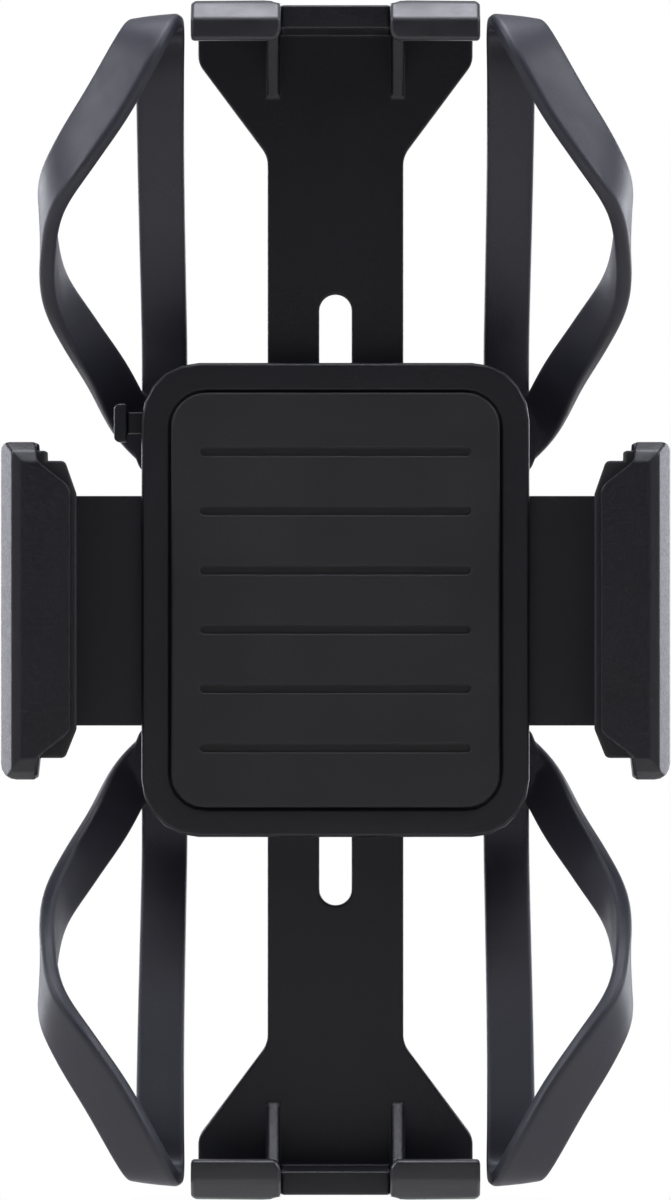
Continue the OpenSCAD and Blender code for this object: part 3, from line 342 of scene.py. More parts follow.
def rounded_outline(corners, steps):
    """An outline whose corners (u, v, radius) are rounded.

    A corner C turns into the arc ((1-t)^2 A + 2 w t (1-t) C + t^2 B) / ((1-t)^2 + 2 w t (1-t) + t^2) between
    the points A and B where a circle of that radius touches its two edges. Here w is the sine of half the
    corner's angle.
    """
    corners = np.asarray(corners, float)
    point, radius = corners[:, :2], corners[:, 2:3]
    before, after = np.roll(point, 1, 0) - point, np.roll(point, -1, 0) - point
    size_before = np.linalg.norm(before, axis=1, keepdims=True)
    size_after = np.linalg.norm(after, axis=1, keepdims=True)
    before, after = before / size_before, after / size_after
    half = np.arccos(np.clip((before * after).sum(1, keepdims=True), -1, 1)) / 2
    reach = radius / np.tan(half)
    start = (point + before * np.minimum(reach, 0.48 * size_before))[:, None]
    end = (point + after * np.minimum(reach, 0.48 * size_after))[:, None]
    t = np.linspace(0, 1, steps + 1)[:, None]
    pull = 2 * np.sin(half)[:, None] * t * (1 - t)
    arc = ((1 - t) ** 2 * start + pull * point[:, None] + t ** 2 * end) / ((1 - t) ** 2 + pull + t ** 2)
    arc = arc.reshape(-1, 2)
    keep = np.linalg.norm(arc - np.roll(arc, 1, 0), axis=1) > 1e-6
    return arc[keep]


def rounded_rectangle(half_u, half_v, radius, steps):
    """The rounded outline of a rectangle about the origin."""
    signs = ((-1, -1), (1, -1), (1, 1), (-1, 1))
    return rounded_outline([(u * half_u, v * half_v, radius) for u, v in signs], steps)


def resampled(outline, count):
    """The closed outline walked round in that many equal steps."""
    closed = np.vstack((outline, outline[:1]))
    walked = np.concatenate(([0.0], np.cumsum(np.linalg.norm(np.diff(closed, axis=0), axis=1))))
    stations = np.linspace(0, walked[-1], count, endpoint=False)
    return np.stack([np.interp(stations, walked, closed[:, k]) for k in (0, 1)], 1)


def prism(axis, outline, low, high):
    """Two rings: the flat outline at the low and the high end of an axis."""
    outline = np.asarray(outline, float)
    u, v, w = AXES[axis]
    rings = np.empty((2, len(outline), 3))
    rings[..., u], rings[..., v] = outline[:, 0], outline[:, 1]
    rings[0, :, w], rings[1, :, w] = low, high
    return rings


def block(low, high):
    """Rings of a plain box between two corners."""
    (x0, y0, z0), (x1, y1, z1) = low, high
    return prism("Z", [(x0, y0), (x1, y0), (x1, y1), (x0, y1)], z0, z1)


def disc(radius, axis_x, axis_z, y0, y1, count):
    """Rings of a round bar along Y: axis + radius * (cos, sin) at both of its ends."""
    turn = np.linspace(0, 2 * math.pi, count, endpoint=False)
    circle = np.stack((axis_x + radius * np.cos(turn), axis_z + radius * np.sin(turn)), 1)
    return prism("Y", circle, y0, y1)


def solid(name, *shells):
    """One object of closed tubes.

    Each cell between rings i, i+1 and points j, j+1 is a face, and so is each end.
    """
    points, faces, first = [], [], 0
    for rings in shells:
        index = first + np.arange(rings.shape[0] * rings.shape[1]).reshape(rings.shape[:2])
        beside = np.roll(index, -1, 1)
        cells = np.stack((index[:-1], beside[:-1], beside[1:], index[1:]), -1).reshape(-1, 4)
        faces += cells.tolist() + [index[0, ::-1].tolist(), index[-1].tolist()]
        points.append(rings.reshape(-1, 3))
        first += index.size
    mesh = bpy.data.meshes.new(name)
    mesh.from_pydata(np.vstack(points), [], faces)
    tidy(mesh)
    piece = bpy.data.objects.new(name, mesh)
    bpy.context.scene.collection.objects.link(piece)
    return piece


def tidy(mesh, join_flat=False):
    """Merge doubles, join faces that lie flat together where asked, and turn every face outwards."""
    shape = bmesh.new()
    shape.from_mesh(mesh)
    bmesh.ops.remove_doubles(shape, verts=shape.verts, dist=1e-4)
    if join_flat:
        bmesh.ops.dissolve_limit(shape, angle_limit=FLAT_ANGLE, verts=shape.verts, edges=shape.edges)
    bmesh.ops.recalc_face_normals(shape, faces=shape.faces)
    shape.to_mesh(mesh)
    shape.free()


def settled(piece):
    """The piece with its modifiers made permanent."""
    layer = bpy.context.evaluated_depsgraph_get()
    mesh = bpy.data.meshes.new_from_object(piece.evaluated_get(layer))
    piece.modifiers.clear()
    old, piece.data = piece.data, mesh
    bpy.data.meshes.remove(old)
    mesh.name = piece.name
    return piece


def combined(piece, operation, *tools, overlapping=False):
    """Exact Boolean of the piece with each tool in turn; the tools are used up."""
    for tool in tools:
        step = piece.modifiers.new(operation.lower(), "BOOLEAN")
        step.operation = operation
        step.solver = "EXACT"
        step.use_self = overlapping
        step.object = tool
    settled(piece)
    for tool in tools:
        bpy.data.objects.remove(tool)
    if not piece.data.polygons:
        raise RuntimeError(piece.name + " came out empty")
    return piece


def eased(piece, width, segments=3):
    """The piece with its sharp edges rounded over, by that width in millimetres."""
    tidy(piece.data, join_flat=True)
    step = piece.modifiers.new("edges", "BEVEL")
    step.width = width
    step.segments = segments
    step.limit_method = "ANGLE"
    step.angle_limit = EDGE_ANGLE
    step.use_clamp_overlap = False
    return settled(piece)


def placed(piece, node, finish=None):
    """Put a piece made in millimetres in its CAD node's place, with its material, body and smooth shading."""
    mesh = piece.data
    mesh.transform(Matrix.Scale(MM, 4))
    mesh.shade_smooth()
    mesh.set_sharp_from_angle(angle=SMOOTH_ANGLE)
    even = piece.modifiers.new("even_faces", "WEIGHTED_NORMAL")
    even.keep_sharp = True
    mesh.materials.clear()
    mesh.materials.append(finish_of(finish or SLOT_OF[node]))
    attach(piece, BODY_OF[node])
    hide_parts(node)
    return piece


def eased_node(node, width):
    """A CAD node's own shape with its moulded edges rounded over."""
    mesh = NODES[node].data.copy()
    mesh.transform(Matrix.Scale(1 / MM, 4))
    mesh.materials.clear()
    piece = bpy.data.objects.new(node + "_moulding", mesh)
    bpy.context.scene.collection.objects.link(piece)
    return placed(eased(piece, width, 2), node)


# Harness ----------------------------------------------------------------------------------------------------

# Its plate, with the depth of the middle and half the thickness, and the radii of its holes
HARNESS_MID = -51.3
HARNESS_HALF = 1.2
PLATE_HALF = 17.5
PLATE_CORNER = 7.0
PLATE_EDGE = 0.4
SOCKET_HOLE = 10.1
BODY_SCREW_HOLE = 1.4
BODY_SCREW_PLACE = 13.0

# Where a strap's ends meet, how far its middle is from the phone, and how its path is stepped and smoothed
KNOT_X = 24.0
KNOT_Z = 26.0
STRAP_LIFT = 1.0
STRAP_STEP = 0.6
CENTRE_SPREAD = 1.7
FACING_SPREAD = 4.0


def strap_route():
    """Rows of the upper right strap: x, y, z of its centre line, where it faces, and its added width.

    It leaves the knot upwards, turns round the phone's top edge, crosses the corner in front, and comes back
    round the side edge.
    """
    knot_x, knot_z, x_end, z_end = KNOT_X, KNOT_Z, PHONE_EDGE_X, PHONE_EDGE_Z
    back, front, mid, lift = PHONE_BACK, PHONE_FRONT, HARNESS_MID, STRAP_LIFT
    half = (back - front) / 2
    return np.array([
        (knot_x, mid, knot_z, 0, 1, 0, 0),
        (knot_x, mid, knot_z + 4.5, 0, 1, 0, 0),
        (knot_x, mid, knot_z + 9, 0, 1, 0.1, 0),
        (knot_x + 0.1, mid - 2.6, knot_z + 16, 0, 1, 0.35, 0),
        (knot_x + 0.4, (mid + back) / 2 - 1.4, (knot_z + z_end) / 2 + 6, 0, 1, 0.35, 0.1),
        (knot_x + 0.6, back + lift + 0.7, z_end - 6, 0, 1, 0.3, 0.3),
        (knot_x + 0.7, back + 0.75, z_end + 0.4, 0, 0.8, 0.8, 0.5),
        (knot_x + 1.1, back - half, z_end + lift - 0.35, 0.05, 0, 1, 0.7),
        (knot_x + 1.9, front - 0.9, z_end + 0.4, 0.2, -0.7, 0.75, 1.0),
        (knot_x + 4.2, front - 3.2, z_end - 3.4, 0.42, -0.8, 0.42, 1.4),
        (x_end - 6.9, front - 3.2, z_end - 10, 0.53, -0.79, 0.34, 1.7),
        (x_end - 2.6, front - 3.2, z_end - 16.8, 0.68, -0.74, 0.27, 1.7),
        (x_end + 0.5, front - 0.8, z_end - 22.6, 0.95, -0.42, 0.12, 1.4),
        (x_end + lift - 0.1, front + half, z_end - 28.5, 1, 0, 0, 0.9),
        (x_end + 0.2, back + 0.5, z_end - 35.4, 1, 0.25, 0, 0.5),
        (x_end - 3.3, back + 6.2, z_end - 41.8, 0.8, 0.75, 0, 0.2),
        (x_end - 7.1, (mid + back) / 2 + 4.5, knot_z + 5.2, 0.55, 0.95, 0.1, 0),
        (knot_x + 4.4, mid, knot_z - 1.2, 0.1, 1, 0, 0),
        (knot_x + 0.6, mid, knot_z - 5, 0, 1, 0, 0),
    ], float)


def smoothed(values, sigma):
    """A Gaussian mean along the rows, sigma in rows, with the ends held by carrying their slope on."""
    reach = int(3 * sigma) + 1
    weights = np.exp(-0.5 * (np.arange(-reach, reach + 1) / sigma) ** 2)
    weights /= weights.sum()
    before = 2 * values[0] - values[reach:0:-1]
    after = 2 * values[-1] - values[-2:-reach - 2:-1]
    long = np.vstack((before, values, after))
    return np.stack([np.convolve(long[:, k], weights, "valid") for k in range(values.shape[1])], 1)


def strap_path():
    """The route as a Catmull-Rom curve, walked in equal steps and smoothed, its facing more than its centre.

    Between rows b and c, with a before and d after, a point is
    ((2b) + (c - a) t + (2a - 5b + 4c - d) t^2 + (3b - a - 3c + d) t^3) / 2.
    """
    rows = strap_route()
    a, b = np.vstack((2 * rows[:1] - rows[1:2], rows[:-2])), rows[:-1]
    c, d = rows[1:], np.vstack((rows[2:], 2 * rows[-1:] - rows[-2:-1]))
    t = np.linspace(0, 1, 40, endpoint=False)[None, :, None]
    a, b, c, d = (v[:, None] for v in (a, b, c, d))
    fine = (2 * b + (c - a) * t + (2 * a - 5 * b + 4 * c - d) * t ** 2 + (3 * b - a - 3 * c + d) * t ** 3) / 2
    fine = np.vstack((fine.reshape(-1, 7), rows[-1:]))
    walked = np.concatenate(([0.0], np.cumsum(np.linalg.norm(np.diff(fine[:, :3], axis=0), axis=1))))
    stations = np.linspace(0, walked[-1], int(walked[-1] / STRAP_STEP) + 1)
    path = np.stack([np.interp(stations, walked, fine[:, k]) for k in range(7)], 1)
    centre, facing = path[:, :3], path[:, 3:]
    return smoothed(centre, CENTRE_SPREAD / STRAP_STEP), smoothed(facing, FACING_SPREAD / STRAP_STEP)


def strap_rings(width, thickness, corner, crown):
    """A flat strap carried along its path.

    Each ring is centre + u * across + v * outward, where (u, v) goes round a rounded rectangle. Its outer
    side is crowned by crown * (1 - (2u / width)^2), and its half with u above 0 is stretched by the added
    width. Outward is the facing less its part along the path. Across is the path's direction crossed with
    outward.
    """
    centre, facing = strap_path()
    facing, added = facing[:, :3], facing[:, 3:]
    along = np.gradient(centre, axis=0)
    along /= np.linalg.norm(along, axis=1, keepdims=True)
    outward = facing - (facing * along).sum(1, keepdims=True) * along
    outward /= np.linalg.norm(outward, axis=1, keepdims=True)
    across = np.cross(along, outward)
    w, t = width / 2, thickness / 2
    ring = rounded_rectangle(w, t, corner, 4)
    ring = np.vstack((ring, [(x, s * t) for x in (-w / 3, 0, w / 3) for s in (-1, 1)]))
    ring = ring[np.argsort(np.arctan2(ring[:, 1], ring[:, 0]))]
    rise = np.where(ring[:, 1] > 0, crown * (1 - (ring[:, 0] / w) ** 2), 0.0)
    u = ring[:, 0] * (1 + np.where(ring[:, 0] > 0, added / w, 0.0))
    v = ring[:, 1] + rise
    return centre[:, None] + u[..., None] * across[:, None] + v[:, None] * outward[:, None]


def harness_plate():
    """The harness's middle behind the cradle: a rounded square with an arm to each strap's two ends."""
    y0, y1 = HARNESS_MID - HARNESS_HALF, HARNESS_MID + HARNESS_HALF
    square = rounded_rectangle(PLATE_HALF, PLATE_HALF, PLATE_CORNER, 7)
    arm = rounded_outline([(8.5, 14.5, 0), (20.5, 25, 2), (20.5, 29, 0.8), (27.5, 29, 0.8), (29.3, 23, 2),
                           (27.5, 18.5, 2), (14.5, 8.5, 0)], 5)
    plate = solid("corner_harness_rubber", prism("Y", square, y0, y1))
    arms = [solid("arm", prism("Y", arm * signs, y0, y1)) for signs in QUARTERS]
    return combined(plate, "UNION", *arms)


def harness_holes():
    """Round holes through the plate, for the ball socket and the four body screws."""
    y0, y1 = HARNESS_MID - HARNESS_HALF - 1, HARNESS_MID + HARNESS_HALF + 1
    place = BODY_SCREW_PLACE
    screws = [disc(BODY_SCREW_HOLE, sx * place, sz * place, y0, y1, 28) for sx, sz in QUARTERS]
    return solid("holes", disc(SOCKET_HOLE, 0, 0, y0, y1, 72), *screws)


class MOUNT_OT_corner_harness(bpy.types.Operator):
    """Silicone harness: four straps over the phone's corners, joined by a plate behind the cradle"""
    bl_idname = "mount.corner_harness"
    bl_label = "Corner harness"

    def execute(self, context):
        size = context.scene.mount_sizes
        plate = eased(harness_plate(), PLATE_EDGE)
        rings = strap_rings(size.strap_width / MM, size.strap_thickness / MM, size.strap_corner / MM,
                            size.strap_crown / MM)
        straps = [solid("strap", rings * (sx, 1, sz)) for sx, sz in QUARTERS]
        combined(plate, "UNION", *straps, overlapping=True)
        combined(plate, "DIFFERENCE", harness_holes())
        placed(plate, "corner_harness")
        return {"FINISHED"}


# Jaws -------------------------------------------------------------------------------------------------------

# Slot for the arm, screws that hold it, and the grooved length of the rubber
ARM_SLOT_FRONT = -64.05
ARM_SLOT_BACK = -59.55
ARM_SLOT_OUT = 44.05
ARM_SLOT_HALF = 16.05
JAW_SCREW_X = 40.9
JAW_SCREW_Z = 10.0
SCREW_SHAFT = 1.32
SCREW_HEAD = 2.35
RIBBED_HALF = 16.5
GROOVE_HALF = 0.5


def jaw_form():
    """A jaw shell before it is drilled: what its section, side view and front outline have in common."""
    section = [(LIP_IN - 1, JAW_FRONT), (JAW_OUT - 2.95, JAW_FRONT), (JAW_OUT - 1.6, JAW_FRONT + 0.7),
               (JAW_OUT, JAW_FRONT + 4.1), (JAW_OUT, JAW_BACK - 3), (JAW_OUT - 1.5, JAW_BACK),
               (FOOT_IN, JAW_BACK), (FOOT_IN, FOOT_FRONT), (JAW_IN, FOOT_FRONT), (JAW_IN, LIP_BACK),
               (LIP_IN - 1, LIP_BACK)]
    side = [(JAW_FRONT, JAW_LOW + 2.8), (JAW_FRONT + 0.9, JAW_LOW + 1.2), (JAW_FRONT + 2.9, JAW_LOW),
            (JAW_BACK - 2, JAW_LOW), (JAW_BACK, JAW_LOW + 4), (JAW_BACK, JAW_TOP - 4),
            (JAW_BACK - 2, JAW_TOP), (JAW_FRONT + 2.9, JAW_TOP), (JAW_FRONT + 0.9, JAW_TOP - 1.2),
            (JAW_FRONT, JAW_TOP - 2.8)]
    front = rounded_outline([
        (JAW_OUT, JAW_LOW, 2.2), (JAW_OUT, JAW_TOP, 1.2), (JAW_IN - 0.1, JAW_TOP, 0),
        (JAW_IN - 0.3, JAW_TOP - 2.6, 1.5), (LIP_IN, JAW_TOP - 6.2, 2.2), (LIP_IN, JAW_LOW + 6.6, 1.6),
        (JAW_IN - 0.3, JAW_LOW + 3, 1.2), (JAW_IN, JAW_LOW, 0)], 4)
    piece = solid("jaw", prism("Z", section, JAW_LOW - 1, JAW_TOP + 1))
    return combined(piece, "INTERSECT", solid("side", prism("X", side, LIP_IN - 2, JAW_OUT + 1)),
                    solid("front", prism("Y", front, JAW_FRONT - 1, JAW_BACK + 1)))


def screw_hole(x, z):
    """Rings of a countersunk hole in a jaw's back: a shaft, a cone and a straight head."""
    profile = ((SCREW_SHAFT, JAW_BACK - 4), (SCREW_SHAFT, JAW_BACK - 1.45), (SCREW_HEAD, JAW_BACK - 0.25),
               (SCREW_HEAD, JAW_BACK + 1))
    return np.stack([disc(radius, x, z, y, y, 28)[0] for radius, y in profile])


class MOUNT_OT_jaw_shells(bpy.types.Operator):
    """Bevelled outer shells of the left and right jaw"""
    bl_idname = "mount.jaw_shells"
    bl_label = "Jaw shells"

    def execute(self, context):
        edge = context.scene.mount_sizes.shell_edge / MM
        for side, sign in SIDES:
            piece = eased(jaw_form(), edge)
            cuts = [block((FOOT_IN - 1, ARM_SLOT_FRONT, JAW_MID - ARM_SLOT_HALF),
                          (ARM_SLOT_OUT, ARM_SLOT_BACK, JAW_MID + ARM_SLOT_HALF)),
                    block((JAW_IN - 1, RIB_FRONT, JAW_MID - RIB_HALF),
                          (JAW_IN + 1.6, RIB_BACK, JAW_MID + RIB_HALF))]
            cuts += [screw_hole(JAW_SCREW_X, JAW_MID + s * JAW_SCREW_Z) for s in (-1, 1)]
            combined(piece, "DIFFERENCE", *(solid("cut", rings) for rings in cuts))
            piece.data.transform(Matrix.Diagonal((sign, 1, 1, 1)))
            tidy(piece.data)
            piece.name = side + "_jaw_bevelled_shell"
            placed(piece, side + "_jaw_shell")
        return {"FINISHED"}


class MOUNT_OT_jaw_pads(bpy.types.Operator):
    """Ribbed rubber that lines each jaw and shows as a thin lip along its inner edge"""
    bl_idname = "mount.jaw_pads"
    bl_label = "Jaw pads"

    def execute(self, context):
        size = context.scene.mount_sizes
        edge, pitch, depth = size.rubber_edge / MM, size.rib_pitch / MM, size.rib_depth / MM
        low, top, lip = JAW_LOW + 3, JAW_TOP - 1.2, LIP_IN - 0.8
        front = rounded_outline([
            (JAW_IN, low, 0), (JAW_IN, top, 0), (PAD_IN + 1, top, 0), (PAD_IN + 1, top - 1.4, 0),
            (lip + 1.6, top - 1.4, 0.8), (lip, top - 6, 1), (lip, low + 4, 1), (lip + 1.6, low, 0.8)], 4)
        section = [(lip - 1, LIP_BACK), (JAW_IN, LIP_BACK), (JAW_IN, FOOT_FRONT), (PAD_IN, FOOT_FRONT),
                   (PAD_IN, PHONE_FRONT - 0.1), (lip - 1, PHONE_FRONT - 0.1)]
        count = int(RIBBED_HALF / pitch)
        for side, sign in SIDES:
            piece = solid(side + "_jaw_ribbed_pad", prism("Z", section, low - 1, top + 1))
            combined(piece, "INTERSECT", solid("front", prism("Y", front, LIP_BACK - 1, FOOT_FRONT + 1)))
            eased(piece, edge)
            middles = [JAW_MID + i * pitch for i in range(-count, count + 1)]
            grooves = [block((PAD_IN - 1, PHONE_FRONT + 1.2, z - GROOVE_HALF),
                             (PAD_IN + depth, PHONE_BACK - 1, z + GROOVE_HALF)) for z in middles]
            combined(piece, "DIFFERENCE", solid("grooves", *grooves))
            rib = block((JAW_IN - 0.5, RIB_FRONT + 0.1, JAW_MID - RIB_HALF + 0.1),
                        (JAW_IN + 1.5, RIB_BACK - 0.1, JAW_MID + RIB_HALF - 0.1))
            combined(piece, "UNION", solid("rib", rib))
            piece.data.transform(Matrix.Diagonal((sign, 1, 1, 1)))
            tidy(piece.data)
            placed(piece, side + "_jaw_pad")
        return {"FINISHED"}


# Feet and pads ----------------------------------------------------------------------------------------------

# A toe from the side and from the front; its edges are rounded TOE_EDGES times as much as other rubber
TOE_NEAR = 7.55
TOE_FAR = 20.0
TOE_HOOK = 77.3
TOE_INSIDE = 79.1
TOE_TOP = 82.9
TOE_EDGES = 1.8

# The phone's pad and its grooves
PAD_HALF_X = 22.85
PAD_HALF_Z = 28.85
PAD_CORNER = 4.85
PAD_THICKNESS = 1.5
PAD_GROOVES = 6
PAD_GROOVE_HALF = 18.85
PAD_GROOVE_ROUND = 0.6
PAD_GROOVE_DEPTH = 0.5

# A bar liner: its radii, and the angle that it covers each way
LINER_INNER = 11.2
LINER_OUTER = 12.65
LINER_MEAN = 11.9
LINER_THICKNESS = 1.4
LINER_TURN = math.radians(54.0)
LINER_HALF = 13.5
LINER_ROUND = 0.3


def toe_form():
    """One right-hand toe of the top foot: its profile carried along X, cut to its outline from the front."""
    front, lip, back = JAW_FRONT + 0.2, PHONE_FRONT - 0.1, PHONE_BACK + 2.2
    profile = [(back, TOE_INSIDE), (lip, TOE_INSIDE), (lip, TOE_HOOK), (front, TOE_HOOK),
               (front, TOE_TOP - 2.5), (front + 2.5, TOE_TOP - 0.4), (front + 3.6, TOE_TOP), (back, TOE_TOP)]
    slanted = TOE_NEAR + 1.35
    outline = rounded_outline([
        (slanted, TOE_HOOK - 1, 0), (TOE_FAR, TOE_HOOK - 1, 0), (TOE_FAR, TOE_TOP, 0.8),
        (slanted, TOE_TOP, 1), (TOE_NEAR, TOE_TOP - 0.45, 0), (TOE_NEAR, TOE_HOOK + 1.2, 0)], 4)
    piece = solid("toe", prism("X", profile, TOE_NEAR - 0.55, TOE_FAR + 0.5))
    return combined(piece, "INTERSECT", solid("outline", prism("Y", outline, front - 1, back + 1)))


class MOUNT_OT_toe_grips(bpy.types.Operator):
    """Rubber toes that cover each foot's two hooks"""
    bl_idname = "mount.toe_grips"
    bl_label = "Toe grips"

    def execute(self, context):
        edge = context.scene.mount_sizes.rubber_edge / MM * TOE_EDGES
        for end, turn in ENDS:
            pair = []
            for sign in (-1, 1):
                toe = eased(toe_form(), edge)
                pocket = block((TOE_NEAR - 2.55, PHONE_FRONT + 2.9, TOE_INSIDE + 0.75),
                               (TOE_FAR - 0.75, PHONE_BACK + 3.5, TOE_TOP - 0.65))
                combined(toe, "DIFFERENCE", solid("pocket", pocket))
                toe.data.transform(Matrix.Diagonal((sign, 1, turn, 1)))
                pair.append(toe)
            first, second = pair
            combined(first, "UNION", second)
            tidy(first.data)
            first.name = end + "_toe_rubber"
            placed(first, end + "_toe_grips", "toe_rubber")
        return {"FINISHED"}


class MOUNT_OT_phone_pad(bpy.types.Operator):
    """Grooved rubber pad that the phone's back lies on"""
    bl_idname = "mount.phone_pad"
    bl_label = "Phone pad"

    def execute(self, context):
        edge = context.scene.mount_sizes.rubber_edge / MM
        outline = rounded_rectangle(PAD_HALF_X, PAD_HALF_Z, PAD_CORNER, 8)
        piece = solid("phone_pad_rubber", prism("Y", outline, PHONE_BACK, PHONE_BACK + PAD_THICKNESS))
        eased(piece, edge)
        levels = [PAD_HALF_Z * (2 * (i + 1) / (PAD_GROOVES + 1) - 1) for i in range(PAD_GROOVES)]
        slot = rounded_rectangle(PAD_GROOVE_HALF, PAD_GROOVE_ROUND, PAD_GROOVE_ROUND, 5)
        grooves = [prism("Y", slot + (0, z), PHONE_BACK - 1, PHONE_BACK + PAD_GROOVE_DEPTH) for z in levels]
        combined(piece, "DIFFERENCE", solid("grooves", *grooves))
        placed(piece, "phone_pad")
        return {"FINISHED"}


def liner_rings(side, pitch, depth):
    """A bar liner: a curved band whose inner radius ripples along X.

    A point round the band's section has a turn along the arc and a share through the thickness. Its radius is
    inner + share * (outer - inner), with inner = LINER_INNER + depth * (1 - cos(2 pi x / pitch)) / 2, and its
    place is (x, side * radius * cos(turn), radius * sin(turn)). The last rings draw in to round the ends.
    """
    arc, thick = LINER_TURN * LINER_MEAN, LINER_THICKNESS
    corners = ((-arc, 0), (arc, 0), (arc, thick), (-arc, thick))
    ring = resampled(rounded_outline([(*corner, LINER_ROUND) for corner in corners], 4), 120)
    turn, through = ring[:, 0] / LINER_MEAN, ring[:, 1] / thick
    ends = LINER_HALF - np.array([0.0, 0.08, LINER_ROUND])
    ribbed = LINER_HALF - 2 * LINER_ROUND
    x = np.concatenate((-ends, np.linspace(-ribbed, ribbed, 105), ends[::-1]))
    draw = np.clip((np.abs(x) - ends[-1]) / LINER_ROUND, 0, 1) ** 2 * 0.25
    inner = LINER_INNER + depth * (1 - np.cos(2 * math.pi * x / pitch)) / 2
    inner = np.where(np.abs(x) > ribbed - 0.1, LINER_INNER, inner)
    share_through = draw[:, None] + through * (1 - 2 * draw[:, None])
    radius = inner[:, None] + share_through * (LINER_OUTER - inner[:, None])
    turn = turn * (1 - draw[:, None] * 0.06)
    return np.stack((np.broadcast_to(x[:, None], radius.shape), side * radius * np.cos(turn),
                     radius * np.sin(turn)), -1)


class MOUNT_OT_bar_liners(bpy.types.Operator):
    """Ribbed rubber liners that grip the handlebar"""
    bl_idname = "mount.bar_liners"
    bl_label = "Bar liners"

    def execute(self, context):
        size = context.scene.mount_sizes
        for node, side in (("front_liner", -1), ("rear_liner", 1)):
            rings = liner_rings(side, size.liner_pitch / MM, size.liner_depth / MM)
            placed(solid(node + "_ribbed", rings), node)
        return {"FINISHED"}


# Mouldings and metal ----------------------------------------------------------------------------------------

# CAD nodes of each group, and the rounding of their edges in millimetres
MOULDINGS = {
    "cradle": (("front_plate", 0.5), ("back_cover", 0.4), ("mid_plate", 0.2), ("ball_socket", 0.25),
               ("release_button", 0.3)),
    "slides": (("top_foot", 0.3), ("bottom_foot", 0.3), ("top_lock_screw", 0.25),
               ("bottom_lock_screw", 0.25)),
    "clamp": (("clamp_frame", 0.4), ("clamp_jaw", 0.4), ("clamp_knob", 0.5), ("knob_cap", 0.3),
              ("lock_collar", 0.35)),
}


class MouldingOperator:
    """Shared by the operators that round over a group of CAD mouldings"""
    group = ""

    def execute(self, context):
        scale = context.scene.mount_sizes.moulding_edge / MOULDING_EDGE
        for node, width in MOULDINGS[self.group]:
            eased_node(node, width * scale)
        return {"FINISHED"}


class MOUNT_OT_cradle_mouldings(MouldingOperator, bpy.types.Operator):
    """Covers, middle plate, ball socket and release button"""
    bl_idname = "mount.cradle_mouldings"
    bl_label = "Cradle mouldings"
    group = "cradle"


class MOUNT_OT_slide_mouldings(MouldingOperator, bpy.types.Operator):
    """Feet and their thumb screws"""
    bl_idname = "mount.slide_mouldings"
    bl_label = "Feet"
    group = "slides"


class MOUNT_OT_clamp_mouldings(MouldingOperator, bpy.types.Operator):
    """Clamp frame and jaw, knob, cap and lock collar"""
    bl_idname = "mount.clamp_mouldings"
    bl_label = "Clamp mouldings"
    group = "clamp"


class MOUNT_OT_hard_parts(bpy.types.Operator):
    """Screws, springs, plates, ball stud, gear, racks and ball seats: CAD nodes with their own materials"""
    bl_idname = "mount.hard_parts"
    bl_label = "Metal, nylon and rack parts"

    def execute(self, context):
        for node, part in NODES.items():
            part.data.materials.clear()
            part.data.materials.append(finish_of(SLOT_OF[node]))
        return {"FINISHED"}


# Studio -----------------------------------------------------------------------------------------------------

# Light colours, the floor's rings in metres, and the depth where the picture has the view's height
COOL = (0.9, 0.91, 1.0)
WHITE = (1.0, 1.0, 1.0)
FLOOR_RINGS = (0.05, 0.3, 1.0, 3.0, 9.0)
FLOOR_POINTS = 96
FRAMED_DEPTH = 0.007


def softbox(name, place, aim, width, height, strength, tint=COOL):
    """A rectangular light that the camera can't see, whose radiance is the strength: energy / (pi * area)."""
    light = bpy.data.lights.new(name, "AREA")
    light.shape = "RECTANGLE"
    light.size, light.size_y = width, height
    light.energy = strength * math.pi * width * height
    light.color = tint
    lamp = bpy.data.objects.new(name, light)
    bpy.context.scene.collection.objects.link(lamp)
    lamp.location = place
    lamp.rotation_euler = (Vector(aim) - Vector(place)).to_track_quat("-Z", "Y").to_euler()
    lamp.visible_camera = False


def studio_world(fill):
    """White to the camera; dim in front and pale behind to reflections; an even grey to everything else."""
    world = bpy.data.worlds.new("studio")
    bpy.context.scene.world = world
    world.use_nodes = True
    tree = world.node_tree
    ray = add(tree, "LightPath")
    split = add(tree, "SeparateXYZ")
    tree.links.new(add(tree, "TexCoord").outputs["Generated"], split.inputs[0])
    behind = between(tree, split.outputs["Y"], -0.35, 0.6)
    beside = arithmetic(tree, "MULTIPLY", split.outputs["X"], split.outputs["X"])
    beside = between(tree, beside, 0.25, 0.7, 0.0, 0.6)
    behind = arithmetic(tree, "MAXIMUM", behind, beside)
    mirror = blend_colours(tree, behind, (0.03, 0.03, 0.035), (0.5, 0.5, 0.52))
    shade = blend_colours(tree, ray.outputs["Is Glossy Ray"], (fill, fill, fill), mirror)
    seen = arithmetic(tree, "MAXIMUM", ray.outputs["Is Camera Ray"], ray.outputs["Is Transmission Ray"])
    backdrop = blend_colours(tree, seen, shade, WHITE)
    tree.links.new(backdrop, tree.nodes["Background"].inputs["Color"])


